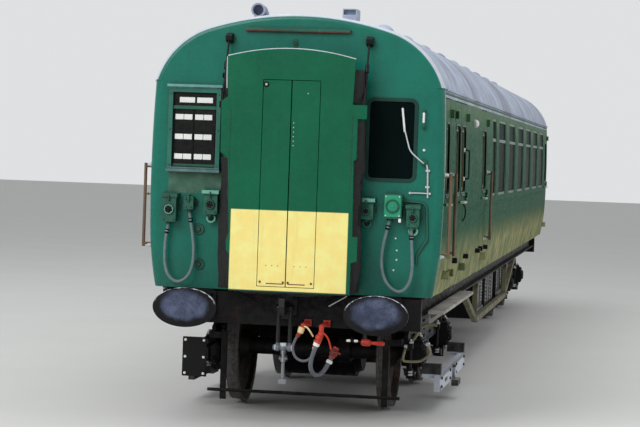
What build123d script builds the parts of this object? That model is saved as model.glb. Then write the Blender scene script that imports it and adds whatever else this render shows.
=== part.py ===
from build123d import *
import os
from math import asin, atan2, cos, pi, radians, sin, sqrt, tan

# Motor coach of a railway electric multiple unit, in millimetres.
# The model is laid out with Y from the front panel, Z from the rail top and X from the centre line.
# place() moves it to the frame: middle of the coach on the floor that the wheel flanges stand on.

# Driving dimensions of the body shell
BODY_LENGTH = 19350
BODY_BOTTOM = 1196
WAIST_HEIGHT = 2256
TURN_HEIGHT = 1750
CANTRAIL_HEIGHT = 3115
CROWN_RISE = 648
CROWN_HEIGHT = CANTRAIL_HEIGHT + CROWN_RISE
BOTTOM_HALF_WIDTH = 1300
WAIST_HALF_WIDTH = 1375
CANTRAIL_HALF_WIDTH = 1352
CROWN_RADIUS = 2750
CROWN_HALF_WIDTH = 850
WALL = 50
SKIRT_DEPTH = 75
SKIRT_BOTTOM = CANTRAIL_HEIGHT - SKIRT_DEPTH
FRONT_CORNER_RADIUS = 80
FRONT_ROOF_RADIUS = 55
FRONT_RETURN = 120
GUTTER_DEPTH = 20
GUTTER_HEIGHT = 14
SEAT_GAP = 0.3

# Floor and underframe
FLOOR_TOP = 1245
FLOOR_BOTTOM = 1175
FLOOR_NOTCH = 10
SOLEBAR_BOTTOM = 985
SOLEBAR_OUTER = 1195
SOLEBAR_FLANGE = 90
SOLEBAR_WEB = 14
HEADSTOCK_BOTTOM = 880
HEADSTOCK_DEPTH = 100
HEADSTOCK_SETBACK = 10
HEADSTOCK_HALF_WIDTH = 1210
CROSSBAR_WIDTH = 70
CROSSBAR_BOTTOM = 1045
CROSSBAR_COUNT = 6
CROSSBAR_SPAN = 9350
END_CROSSBAR = 760
CENTRE_SILL_X = 230
CENTRE_SILL_WIDTH = 60
BOLSTER_WIDTH = 400

# Trussing under the solebars
TRUSS_HALF_LENGTH = 4800
TRUSS_FLAT = 2650
TRUSS_BOTTOM = 480
TRUSS_INSET = 75
TRUSS_BAR = 70
TRUSS_THICKNESS = 60
QUEEN_POST = 60

# Bogies and wheels
BOGIE_CENTRES = 13410
FRONT_PIVOT_Y = (BODY_LENGTH - BOGIE_CENTRES) / 2
WHEELBASE = 2670
WHEEL_RADIUS = 546
FLANGE_HEIGHT = 30
FLANGE_WIDTH = 32
BACK_TO_BACK = 1360
RIM_WIDTH = 127
RIM_THICKNESS = 65
WEB_THICKNESS = 30
WEB_DISH = 14
WEB_ROOT = 40
RIM_ROOT = 30
HUB_RADIUS = 120
HUB_WIDTH = 180
AXLE_RADIUS = 85
JOURNAL_RADIUS = 65
JOURNAL_CENTRE = 978
JOURNAL_LENGTH = 230
JOURNAL_CLEARANCE = 0.3
SIDE_FRAME_INNER = 935
SIDE_FRAME_THICKNESS = 36
SIDE_FRAME_TOP = 900
SIDE_FRAME_MIDDLE = 560
SIDE_FRAME_END_DROP = 150
SIDE_FRAME_OVERHANG = 430
SIDE_FRAME_LIP = 60
SIDE_FRAME_LIP_THICKNESS = 20
SIDE_FRAME_SHOULDER = 260
SIDE_FRAME_SHOULDER_DROP = 60
SIDE_FRAME_BROW = 160
HORN_CHEEK = 60
HORN_CHEEK_DEPTH = 150
HORN_FLARE = 90
HORN_TOP_CLEARANCE = 60
HORN_WIDTH = 230
HORN_CLEARANCE = 0.3
AXLEBOX_HEIGHT = 260
AXLEBOX_DEPTH = 200
AXLEBOX_COVER_RADIUS = 95
AXLEBOX_COVER_REACH = 45
AXLEBOX_COVER_STEPS = (81, 75, 57)
AXLEBOX_CORNER = 22
TRANSOM_WIDTH = 120
TRANSOM_TOP = 820
TRANSOM_BOTTOM = 560
BOGIE_BOLSTER_TOP = 950
BOGIE_BOLSTER_BOTTOM = 600
BOLSTER_SHORT_OF_TRANSOM = 90
BOLSTER_BELOW_FRAME = 30
PIVOT_PIN_RADIUS = 70
PIVOT_PIN_BOTTOM = 720
PIVOT_CLEARANCE = 0.3
PIVOT_PAD_RADIUS = 190
SPRING_LEAF_COUNT = 5
SPRING_LEAF_THICKNESS = 14
SPRING_WIDTH = 90
SPRING_LENGTH = 900
SPRING_CAMBER = 60
SPRING_DROP = 45
HANGER_BRACKET_BOTTOM = 620
HANGER_ROD_RADIUS = 18
HANGER_BRACKET_REACH = 50
HANGER_BRACKET_DEPTH = 50
HANGER_BRACKET_WIDTH = 70
SPRING_EYE_DROP = 10
SPRING_BUCKLE_HALF_LENGTH = 45
SPRING_BUCKLE_MARGIN = 12

# Traction motors on the leading bogie
MOTOR_RADIUS = 330
MOTOR_OFFSET = 560
MOTOR_HALF_LENGTH = 420
MOTOR_AXIS_HEIGHT = 560
MOTOR_END_RADIUS = 270
MOTOR_SHOULDER_RADIUS = 295
MOTOR_NOSE_MARGIN = (40, 60)
MOTOR_END_DEPTH = 60
MOTOR_ARM_WIDTH = 120
MOTOR_ARM_HEIGHT = 220
MOTOR_AXLE_CAP = 45
NOSE_WIDTH = 160
MOTOR_CLEARANCE = 55
TRANSOM_Y = WHEELBASE / 2 - MOTOR_OFFSET - MOTOR_RADIUS - MOTOR_CLEARANCE - TRANSOM_WIDTH / 2
BOGIE_BOLSTER_HALF_WIDTH = TRANSOM_Y - BOLSTER_SHORT_OF_TRANSOM

# Current collection
SHOE_BEAM_X = 1235
SHOE_BEAM_THICKNESS = 60
SHOE_BEAM_TOP = 340
SHOE_BEAM_BOTTOM = 175
SHOE_BEAM_HALF_LENGTH = WHEELBASE / 2 + 85
SHOE_BRACKET_TOP = 445
SHOE_BRACKET_WIDTH = 110
SHOE_BRACKET_OVERLAP = 30
SHOE_LENGTH = 300
SHOE_REACH = 70
SHOE_DROP = 60
SHOE_THICKNESS = 65
SHOE_PLATE = 30
SHOE_PLATE_WIDTH = 120
SHOE_PLATE_MARGIN = 20

# Brake gear
BRAKE_GAP = 8
BRAKE_BLOCK_THICKNESS = 50
BRAKE_BLOCK_HEIGHT = 300
BRAKE_BLOCK_WIDTH = 80
BRAKE_X = 762
HANGER_WIDTH = 24
HANGER_DEPTH = 40
HANGER_DROP = 40
HANGER_AHEAD = 10
BRAKE_HANGER_TOP = 760
BRAKE_BRACKET_DEPTH = 45
BRAKE_BRACKET_WIDTH = 60
BRAKE_BRACKET_REACH = 25
BRAKE_BEAM_RADIUS = 26
BRAKE_BEAM_SETBACK = 4

# Guard irons and tie bar ahead of the leading wheels
GUARD_IRON_X = 790
GUARD_IRON_WIDTH = 60
GUARD_IRON_THICKNESS = 20
GUARD_IRON_BOTTOM = 70
GUARD_IRON_AHEAD = 700
GUARD_IRON_ARM = 60
TIE_BAR_HEIGHT = 160
TIE_BAR_RADIUS = 16
TIE_BAR_HALF_LENGTH = 940

# Doors: name, hinge edge and free edge of the opening, from the front panel
DOORS = (
    ("cab_door", 610, 120),
    ("van_leaf_front", 1120, 1760),
    ("van_leaf_rear", 2400, 1760),
    ("passenger_door", 5150, 4450),
    ("inner_end_door", BODY_LENGTH - 200, BODY_LENGTH - 850),
)
DOOR_BOTTOM = 1204
DOOR_TOP = SKIRT_BOTTOM - 10
DOOR_HINGE_GAP = 6
DOOR_FREE_GAP = 9
DOOR_LEAF_MEETING_GAP = 5
DOOR_BEVEL = 0.13
DOOR_AXIS_STANDOFF = 15
DROPLIGHT_BOTTOM = 2150
DROPLIGHT_TOP = CANTRAIL_HEIGHT - 315
DROPLIGHT_MARGIN = 90
DROPLIGHT_CORNER = 40
DOOR_HINGES = (1380, 2100, DOOR_TOP - 130)
HINGE_PIN_RADIUS = 5
HINGE_KNUCKLE_RADIUS = 9
HINGE_HALF_HEIGHT = 30
HINGE_ARM = 9
HINGE_STRAP = 36
HINGE_FIT = 0.3
HINGE_ROOT = 5
HANDLE_HEIGHT = 2050
HANDLE_INSET = 75
HANDLE_REACH = 55
HANDLE_RADIUS = 11
HANDLE_LENGTH = 130

# Saloon windows: near edge of the glass opening from the front panel, and its width
WINDOW_BOTTOM = 2050
WINDOW_TOP = CANTRAIL_HEIGHT - 140
WINDOW_TRANSOM = WINDOW_TOP - 255
WINDOW_WIDTH = 1240
HALF_WINDOW_WIDTH = 620
FIRST_BAY = 6850
FULL_BAYS = 6
LAST_BAY_END = BODY_LENGTH - 980
WINDOW_PITCH = (LAST_BAY_END - FIRST_BAY) / FULL_BAYS
HALF_BAY_START = 5930
WINDOW_CORNER = 60
WINDOW_FRAME_WIDTH = 32
WINDOW_FRAME_OUTER = 5
WINDOW_FRAME_DEPTH = 26
GLASS_THICKNESS = 6
GLASS_INSET = 14
TRANSOM_BAR = 36

# Front end
CAB_WINDOW = (660, 1104, 2262, CANTRAIL_HEIGHT - 117)
CAB_WINDOW_CORNER = 55
CAB_FRAME_WIDTH = 16
CAB_FRAME_THICKNESS = 9
FRONT_OPENING_HALF_WIDTH = 380
FRONT_OPENING_TOP = CANTRAIL_HEIGHT + 65
REAR_OPENING_HALF_WIDTH = 330
REAR_OPENING_TOP = CANTRAIL_HEIGHT + 35

# Front gangway
BOARD_FRONT = -350
BOARD_THICKNESS = 36
BOARD_BOTTOM = 1210
BOARD_SHOULDER = CANTRAIL_HEIGHT + 225
BOARD_CROWN = BOARD_SHOULDER + 80
BOARD_EAR = CANTRAIL_HEIGHT - 185
BOARD_EAR_DEPTH = 124
# Edge of the end board from its foot up to the ears: distance from the centre line and height
BOARD_RIGHT_EDGE = ((590, BOARD_BOTTOM), (590, 1500), (645, 1520), (645, 1740), (597, 1740), (585, 2425),
                    (610, 2440))
BOARD_LEFT_EDGE = ((-525, BOARD_BOTTOM), (-530, 1540), (-558, 1575), (-562, 1666), (-540, 1740), (-570, 2425),
                   (-640, 2465))
BOARD_SHOULDER_X = (-600, 575)
BOARD_EAR_X = (-645, 692)
BOARD_NECK_X = (-585, 560)
BOARD_NECK_RISE = 46
BOARD_DOOR_HALF_WIDTH = 266
BOARD_DOOR_BOTTOM = 1256
BOARD_DOOR_TOP = CANTRAIL_HEIGHT + 25
LEAF_MEETING_GAP = 10
LEAF_THICKNESS = 30
LEAF_AXIS_STANDOFF = 12
LEAF_HINGES = (1450, 2200, BOARD_DOOR_TOP - 190)
LEAF_PIN_RADIUS = 3
LEAF_KNUCKLE_RADIUS = 6
BELLOWS_HALF_WIDTH = 470
BELLOWS_WALL = 24
BELLOWS_FOLD = 26
BELLOWS_FOLDS = 4
BELLOWS_BOTTOM = 1200
BELLOWS_TOP = BOARD_SHOULDER - 40

# Inner end gangway and coupling
REAR_BELLOWS_LENGTH = 250
REAR_BELLOWS_HALF_WIDTH = 420
REAR_BELLOWS_TOP = CANTRAIL_HEIGHT + 155
REAR_GANGWAY_BOTTOM = 1210
REAR_FACEPLATE_THICKNESS = 50
REAR_FACEPLATE_HALF_WIDTH = 480
REAR_FACEPLATE_TOP = CANTRAIL_HEIGHT + 215
COUPLING_REACH = 638
COUPLING_BAR_HEIGHT = 860
COUPLING_EYE_BORE = 25
COUPLING_EYE_RADIUS = 75
COUPLING_EYE_HEIGHT = 80
CENTRE_BUFFER_HEIGHT = 1055
CENTRE_BUFFER_SIZE = (300, 220, 40)
CENTRE_CASE_LENGTH = 260
COUPLING_DROP = (120, 60)
COUPLING_BAR = (90, 60)
COUPLING_EYE_SETBACK = 20

# Buffers and draw gear
BUFFER_X = 870
BUFFER_HEIGHT = 1055
BUFFER_REACH = 638
BUFFER_HEAD_WIDTH = 585
BUFFER_HEAD_HEIGHT = 356
BUFFER_HEAD_THICKNESS = 48
BUFFER_DOME_RADIUS = 2200
BUFFER_SPINDLE_RADIUS = 62
BUFFER_CASE_RADIUS = 105
BUFFER_CASE_ROOT_RADIUS = 132
BUFFER_CASE_LENGTH = 300
BUFFER_COLLAR_RADIUS = 118
BUFFER_COLLAR = 42
BUFFER_BOSS_RADIUS = 128
BUFFER_BOSS_LENGTH = 70
BUFFER_BASE = 340
BUFFER_BASE_HEIGHT = 270
BUFFER_BASE_CORNER = 40
BUFFER_BASE_THICKNESS = 30
BUFFER_RIB_THICKNESS = 16
BUFFER_RIB_ROOT = 8
HOOK_X = -30
HOOK_WIDTH = 52
HOOK_CORNER = 8
# Outline of the draw hook: distance ahead of the headstock and height over its axis
HOOK_OUTLINE = (
    (-20, -40), (165, -46), (250, -66), (322, -40), (344, 20), (338, 96), (306, 116), (282, 96), (278, 52),
    (258, 26), (228, 26), (196, 44), (-20, 44),
)
DRAW_PLATE = (180, 220, 25)
LINK_X = 55
LINK_SETBACK = 150
LINK_RADIUS = 17
LINK_EYE_RADIUS = 34
LINK_EYE_WIDTH = 28
TRUNNION_HEIGHT = 692
TRUNNION_RADIUS = 24
TRUNNION_OVERHANG = 28
SCREW_BALL_RADIUS = 36
SCREW_END = 600
SCREW_RADIUS = 22
SHACKLE_END = 400
SHACKLE_RADIUS = 15
SHACKLE_FOOT = (70, 50, 42)

# Headcode box
HEADCODE = (-1197, -705, 2290, CANTRAIL_HEIGHT - 35)
HEADCODE_DEPTH = 75
HEADCODE_PANEL = (-1157, -745, 2315, CANTRAIL_HEIGHT - 108)
HEADCODE_RECESS = 40
# Ledge over the box and sill under it: overhang at the sides, reach and height
HEADCODE_LEDGE = (14, 22, 24)
HEADCODE_SILL = (6, 14, 24)
HEADCODE_SILL_DROP = 18

# Flexible cables and hoses
JUMPER_DIAMETER = 30
HOSE_DIAMETER = 25
MAIN_HOSE_DIAMETER = 40
ARC_SHARE = 0.45

# Interior
PARTITION_THICKNESS = 40
PARTITION_TOP = SKIRT_BOTTOM - 10
PARTITION_OPENING = 330
CAB_BACK = 980
VAN_BACK = 4380
SALOON_FRONT = 5230
SALOON_BACK = BODY_LENGTH - 920
SEAT_HEIGHT = 450
SEAT_BACK_HEIGHT = 1080
SEAT_DEPTH = 480
SEAT_BACK_THICKNESS = 100
AISLE_HALF_WIDTH = 260
SEAT_WALL_X = 1225

# Grab rails: place from the front panel, low end and high end
GRAB_RAILS = ((95, 1560, 2340), (640, 1560, 2340), (5240, 1565, 2352))
RAIL_STANDOFF = 60
RAIL_RADIUS = 15
RAIL_FOOT = 30

# Cases under the floor: start from the middle of the body, length, low face and width
CASES = ((-2075, 1300, 480, 520), (-375, 1500, 420, 560), (1705, 1150, 500, 480))
CASE_OUTER = 1080
CASE_DOOR_MARGIN = 35
CASE_DOOR_REACH = 14
CASE_DOOR_WIDTH = 420
CASE_CORNER = 25

# Footboards
FOOTBOARD_X = 1300
FOOTBOARD_WIDTH = 150
FOOTBOARD_THICKNESS = 30
FOOTBOARD_HEIGHT = 1015
FOOTBOARD_START = 500
FOOTBOARD_END = 3900
FOOTBOARD_BRACKETS = 4
FOOTBOARD_LIP = 12
BRACKET_THICKNESS = 14
BRACKET_ARM = 30

HALF_LENGTH = BODY_LENGTH / 2
REAR_PIVOT_Y = FRONT_PIVOT_Y + BOGIE_CENTRES
REAR_WALL = BODY_LENGTH - WALL
AXLE_HEIGHT = WHEEL_RADIUS
FLANGE_RADIUS = WHEEL_RADIUS + FLANGE_HEIGHT


def block(x, y, z):
    """A block from three (low, high) pairs."""
    return Pos(sum(x) / 2, sum(y) / 2, sum(z) / 2) * Box(x[1] - x[0], y[1] - y[0], z[1] - z[0])


def rod(start, end, radius):
    start = Vector(start)
    run = Vector(end) - start
    length = Cylinder(radius, run.length, align=(Align.CENTER, Align.CENTER, Align.MIN))
    return Plane(origin=start, z_dir=run) * length


def span(middle, width):
    return middle - width / 2, middle + width / 2


def profile_xz(edges, y):
    """Extrude a closed profile drawn as (x, z) from y[0] to y[1]."""
    plane = Plane(origin=(0, y[0], 0), x_dir=(1, 0, 0), z_dir=(0, -1, 0))
    return extrude(plane * make_face(edges), y[0] - y[1])


def profile_yz(edges, x):
    """Extrude a closed profile drawn as (y, z) from x[0] to x[1]."""
    plane = Plane(origin=(x[0], 0, 0), x_dir=(0, 1, 0), z_dir=(1, 0, 0))
    return extrude(plane * make_face(edges), x[1] - x[0])


def outline(points):
    return Polyline(*points, close=True)


def smooth(points, radius):
    """A closed outline with its corners rounded."""
    return FilletPolyline(*points, radius=radius, close=True)


def turned(points, origin, direction):
    """A turned piece from (distance along the axis, radius) points."""
    across_axis = Vector(*direction).cross(Vector(0, 0, 1) if abs(direction[2]) < 0.9 else Vector(1, 0, 0))
    face = Plane(origin=origin, x_dir=direction, z_dir=across_axis) * make_face(outline(points))
    return revolve(face, Axis(origin, direction))


def mirrored(shapes):
    """Each shape and its twin across the centre line."""
    return [twin for shape in shapes for twin in (shape, mirror(shape, Plane.YZ))]


def fused(shapes):
    shapes = list(shapes)
    return shapes[0] + shapes[1:] if len(shapes) > 1 else shapes[0]


def place(shapes):
    frame = Location((0, -HALF_LENGTH, FLANGE_HEIGHT))
    return Compound([solid.moved(frame) for shape in shapes for solid in shape.solids()])


def save(name, shapes):
    export_step(place(shapes), f"parts/{name}.step")


# Body cross section

UPPER_FALL = WAIST_HALF_WIDTH - CANTRAIL_HALF_WIDTH
UPPER_RADIUS = ((CANTRAIL_HEIGHT - WAIST_HEIGHT) ** 2 + UPPER_FALL ** 2) / (2 * UPPER_FALL)
UPPER_CENTRE = (WAIST_HALF_WIDTH - UPPER_RADIUS, WAIST_HEIGHT)
TURN_LEAN = asin((WAIST_HEIGHT - TURN_HEIGHT) / UPPER_RADIUS)
TURN_HALF_WIDTH = UPPER_CENTRE[0] + UPPER_RADIUS * cos(TURN_LEAN)
TURN_RUN = (TURN_HALF_WIDTH - BOTTOM_HALF_WIDTH, TURN_HEIGHT - BODY_BOTTOM)
LOWER_RADIUS = (TURN_RUN[0] ** 2 + TURN_RUN[1] ** 2) / (
    2 * (TURN_RUN[0] * cos(TURN_LEAN) - TURN_RUN[1] * sin(TURN_LEAN)))
LOWER_CENTRE = (TURN_HALF_WIDTH - LOWER_RADIUS * cos(TURN_LEAN), TURN_HEIGHT + LOWER_RADIUS * sin(TURN_LEAN))


def turn_point(inset):
    """Where the lower and the upper arc of the side meet, drawn in by the inset."""
    radius = UPPER_RADIUS - inset
    return UPPER_CENTRE[0] + radius * cos(TURN_LEAN), UPPER_CENTRE[1] - radius * sin(TURN_LEAN)


def side_x(z, inset=0):
    """Half width of the side at height z, drawn in by the inset."""
    lower = z < turn_point(inset)[1]
    centre, radius = (LOWER_CENTRE, LOWER_RADIUS) if lower else (UPPER_CENTRE, UPPER_RADIUS)
    return centre[0] + sqrt((radius - inset) ** 2 - (z - centre[1]) ** 2)


def side_edges(inset, z):
    """Arcs of the side from z[0] up to z[1], split where the lower arc meets the upper one."""
    turn = turn_point(inset)
    levels = [z[0], turn[1], z[1]] if z[0] < turn[1] < z[1] else list(z)
    points = [turn if level == turn[1] else (side_x(level, inset), level) for level in levels]
    arcs = []
    for low, high in zip(points, points[1:]):
        middle = (low[1] + high[1]) / 2
        arcs.append(ThreePointArc(low, (side_x(middle, inset), middle), high))
    return arcs


def under_side(y, z):
    """A cutter that fills the body under the right side up to the seat gap outside it."""
    core = BOTTOM_HALF_WIDTH - 2 * WALL
    edges = side_edges(-SEAT_GAP, z)
    edges += [Line((core, level), (side_x(level, -SEAT_GAP), level)) for level in z]
    edges.append(Line((core, z[0]), (core, z[1])))
    return profile_xz(edges, y)


def wall(outer, inner, y, z):
    """A stretch of the right side between two insets."""
    edges = side_edges(outer, z) + side_edges(inner, z)
    edges += [Line((side_x(level, outer), level), (side_x(level, inner), level)) for level in z]
    return profile_xz(edges, y)


CROWN_ANGLE = asin(CROWN_HALF_WIDTH / CROWN_RADIUS)
CROWN_EDGE_HEIGHT = CROWN_HEIGHT - CROWN_RADIUS * (1 - cos(CROWN_ANGLE))
SHOULDER_RUN = (CANTRAIL_HALF_WIDTH - CROWN_HALF_WIDTH, CANTRAIL_HEIGHT - CROWN_EDGE_HEIGHT)
SHOULDER_RADIUS = (SHOULDER_RUN[0] ** 2 + SHOULDER_RUN[1] ** 2) / (
    -2 * (SHOULDER_RUN[0] * sin(CROWN_ANGLE) + SHOULDER_RUN[1] * cos(CROWN_ANGLE)))
SHOULDER_CENTRE = (CROWN_HALF_WIDTH - SHOULDER_RADIUS * sin(CROWN_ANGLE),
                   CROWN_EDGE_HEIGHT - SHOULDER_RADIUS * cos(CROWN_ANGLE))
SHOULDER_END = atan2(CANTRAIL_HALF_WIDTH - SHOULDER_CENTRE[0], CANTRAIL_HEIGHT - SHOULDER_CENTRE[1])


def shoulder_point(angle, inset=0):
    radius = SHOULDER_RADIUS - inset
    return SHOULDER_CENTRE[0] + radius * sin(angle), SHOULDER_CENTRE[1] + radius * cos(angle)


def roof_edges(inset=0):
    """Crown and shoulder arcs of the roof, from the right cantrail to the left one."""
    start = shoulder_point(SHOULDER_END, inset)
    middle = shoulder_point((SHOULDER_END + CROWN_ANGLE) / 2, inset)
    crown = shoulder_point(CROWN_ANGLE, inset)
    return [
        ThreePointArc(start, middle, crown),
        ThreePointArc(crown, (0, CROWN_HEIGHT - inset), (-crown[0], crown[1])),
        ThreePointArc((-crown[0], crown[1]), (-middle[0], middle[1]), (-start[0], start[1])),
    ]


def both_sides(edges):
    return edges + [mirror(edge, Plane.YZ) for edge in edges]


def body_block(inset, y, bottom=BODY_BOTTOM):
    """A solid length of the whole body section, drawn in by the inset."""
    start = shoulder_point(SHOULDER_END, inset)
    side = side_edges(inset, (bottom, start[1]))
    edges = both_sides(side) + roof_edges(inset)
    edges.append(Line((side_x(bottom, inset), bottom), (-side_x(bottom, inset), bottom)))
    side_end = side_x(start[1], inset)
    if abs(side_end - start[0]) > 0.001:
        edges += both_sides([Line((side_end, start[1]), start)])
    return profile_xz(edges, y)


# Body shell

def window_bays():
    bays = [(HALF_BAY_START + 150, HALF_WINDOW_WIDTH)]
    margin = (WINDOW_PITCH - WINDOW_WIDTH) / 2
    return bays + [(FIRST_BAY + bay * WINDOW_PITCH + margin, WINDOW_WIDTH) for bay in range(FULL_BAYS)]


def rounded_opening(y, z, radius, depth):
    """A cutter with rounded corners through the right side."""
    size = (y[1] - y[0], z[1] - z[0])
    plane = Plane(origin=(depth[0], sum(y) / 2, sum(z) / 2), x_dir=(0, 1, 0), z_dir=(1, 0, 0))
    return extrude(plane * RectangleRounded(*size, radius), depth[1] - depth[0])


SIDE_DEPTH = (WAIST_HALF_WIDTH - 200, WAIST_HALF_WIDTH + 60)
SLAB_MARGIN = 20


def rounded_slab(inset, thickness, y, z, radius):
    """A plate with rounded corners that follows the right side, a depth inside it."""
    around = [(span[0] - SLAB_MARGIN, span[1] + SLAB_MARGIN) for span in (y, z)]
    return wall(inset, inset + thickness, *around) & rounded_opening(y, z, radius, SIDE_DEPTH)


def door_openings():
    """Low and high Y of each doorway, the two van leaves as one."""
    spans = sorted(tuple(sorted(door[1:])) for door in DOORS)
    merged = [spans[0]]
    for low, high in spans[1:]:
        if low <= merged[-1][1]:
            merged[-1] = (merged[-1][0], high)
        else:
            merged.append((low, high))
    return merged


def side_walls():
    doorways = door_openings()
    starts = [high for low, high in doorways]
    ends = [low for low, high in doorways[1:]] + [REAR_WALL]
    panels = []
    for start, end in zip(starts, ends):
        panel = wall(0, WALL, (start, end), (BODY_BOTTOM, SKIRT_BOTTOM))
        for near, width in window_bays():
            if start < near < end:
                y = (near, near + width)
                panel -= rounded_opening(y, (WINDOW_BOTTOM, WINDOW_TOP), WINDOW_CORNER, SIDE_DEPTH)
        for name, edge, free in DOORS:
            if edge in (start, end):
                panel += door_hinges(edge, free, 0)
        panels.append(panel)
    return mirrored(panels)


def window_frames():
    frames = []
    for near, width in window_bays():
        y = (near + SEAT_GAP, near + width - SEAT_GAP)
        z = (WINDOW_BOTTOM + SEAT_GAP, WINDOW_TOP - SEAT_GAP)
        inner_y = (y[0] + WINDOW_FRAME_WIDTH, y[1] - WINDOW_FRAME_WIDTH)
        frame = rounded_slab(WINDOW_FRAME_OUTER, WINDOW_FRAME_DEPTH, y, z, WINDOW_CORNER - SEAT_GAP)
        lower = (z[0] + WINDOW_FRAME_WIDTH, WINDOW_TRANSOM - TRANSOM_BAR / 2)
        upper = (WINDOW_TRANSOM + TRANSOM_BAR / 2, z[1] - WINDOW_FRAME_WIDTH)
        for light in (lower, upper):
            frame -= rounded_opening(inner_y, light, WINDOW_FRAME_WIDTH / 2, SIDE_DEPTH)
        frames.append(frame)
    ring = front_plate(CAB_WINDOW, CAB_FRAME_WIDTH, CAB_WINDOW_CORNER, (-CAB_FRAME_THICKNESS, -SEAT_GAP))
    ring -= front_plate(CAB_WINDOW, -CAB_FRAME_WIDTH, CAB_WINDOW_CORNER, (-CAB_FRAME_THICKNESS - 1, 1))
    return mirrored(frames) + [ring]


def front_plate(edges, margin, corner, y):
    """A plate with rounded corners across the coach, a margin outside (left, right, bottom, top)."""
    left, right, bottom, top = edges
    middle = ((left + right) / 2, y[0], (bottom + top) / 2)
    plane = Plane(origin=middle, x_dir=(1, 0, 0), z_dir=(0, -1, 0))
    face = RectangleRounded(right - left + 2 * margin, top - bottom + 2 * margin, corner + margin)
    return extrude(plane * face, y[0] - y[1])


def window_glass():
    panes = []
    edge = WINDOW_FRAME_WIDTH + 2 * SEAT_GAP
    for near, width in window_bays():
        y = (near + edge, near + width - edge)
        lower = (WINDOW_BOTTOM + edge, WINDOW_TRANSOM - TRANSOM_BAR / 2 - SEAT_GAP)
        upper = (WINDOW_TRANSOM + TRANSOM_BAR / 2 + SEAT_GAP, WINDOW_TOP - edge)
        for light in (lower, upper):
            panes.append(rounded_slab(GLASS_INSET, GLASS_THICKNESS, y, light, WINDOW_FRAME_WIDTH / 2))
    depth = (SEAT_GAP, SEAT_GAP + GLASS_THICKNESS)
    return mirrored(panes) + [front_plate(CAB_WINDOW, -SEAT_GAP, CAB_WINDOW_CORNER, depth)]


def front_end():
    y = (0, FRONT_RETURN)
    sides = both_sides(side_edges(0, (BODY_BOTTOM, CANTRAIL_HEIGHT)))
    levels = (BODY_BOTTOM, CANTRAIL_HEIGHT)
    closing = [Line((-side_x(level), level), (side_x(level), level)) for level in levels]
    lower = profile_xz(sides + closing, y)
    front_edges = [edge for edge in lower.edges() if abs(edge.center().Y) < 1]
    corners = [edge for edge in front_edges if abs(edge.center().X) > BOTTOM_HALF_WIDTH - 5]
    lower = fillet(corners, FRONT_CORNER_RADIUS)
    upper = profile_xz(roof_edges() + closing[1:], y)
    front_edges = [edge for edge in upper.edges() if abs(edge.center().Y) < 1]
    rim = [edge for edge in front_edges if edge.center().Z > CANTRAIL_HEIGHT + 5]
    upper = fillet(rim, FRONT_ROOF_RADIUS)
    shell = lower + upper - body_block(WALL, (WALL, FRONT_RETURN + 1), BODY_BOTTOM - 10)
    opening = (-FRONT_OPENING_HALF_WIDTH, FRONT_OPENING_HALF_WIDTH)
    shell -= block(opening, (-1, WALL + 1), (FLOOR_TOP, FRONT_OPENING_TOP))
    return [shell - front_plate(CAB_WINDOW, 0, CAB_WINDOW_CORNER, (-1, WALL + 1))]


def rear_end():
    plate = body_block(0, (REAR_WALL, BODY_LENGTH))
    opening = (-REAR_OPENING_HALF_WIDTH, REAR_OPENING_HALF_WIDTH)
    return [plate - block(opening, (REAR_WALL - 1, BODY_LENGTH + 1), (FLOOR_TOP, REAR_OPENING_TOP))]


def roof():
    y = (FRONT_RETURN, REAR_WALL)
    outer = both_sides(side_edges(0, (SKIRT_BOTTOM, CANTRAIL_HEIGHT))) + roof_edges()
    inner_end = shoulder_point(SHOULDER_END, WALL)
    foot = side_x(SKIRT_BOTTOM, WALL)
    inner = both_sides([Line((foot, SKIRT_BOTTOM), inner_end)]) + roof_edges(WALL)
    feet = both_sides([Line((foot, SKIRT_BOTTOM), (side_x(SKIRT_BOTTOM), SKIRT_BOTTOM))])
    shell = profile_xz(outer + inner + feet, y)
    edge = CANTRAIL_HALF_WIDTH
    gutter = block((edge - 8, edge + GUTTER_DEPTH), y, (CANTRAIL_HEIGHT - GUTTER_HEIGHT, CANTRAIL_HEIGHT))
    return [shell + gutter + mirror(gutter, Plane.YZ)]


def roof_height(x):
    return CROWN_HEIGHT - CROWN_RADIUS + sqrt(CROWN_RADIUS ** 2 - x ** 2)


VENT_X = 450
VENT_RADIUS = 120
VENT_RISE = 95
VENT_DOME_RADIUS = (VENT_RADIUS ** 2 + VENT_RISE ** 2) / (2 * VENT_RISE)
VENT_START = 2600
VENT_END = 1390
VENT_COUNT = 9
VENT_PITCH = (BODY_LENGTH - VENT_START - VENT_END) / (VENT_COUNT - 1)


HOOD_X = 430
HOOD_RADIUS = 58
HOOD_WALL = 8
HOOD_LIFT = 12
HOOD_LENGTH = 260
HOOD_START = 170
HOOD_END = HOOD_START + HOOD_LENGTH
BOX_WIDTH = 130
BOX_RISE = 92
BOX_SLOT = 48


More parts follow.
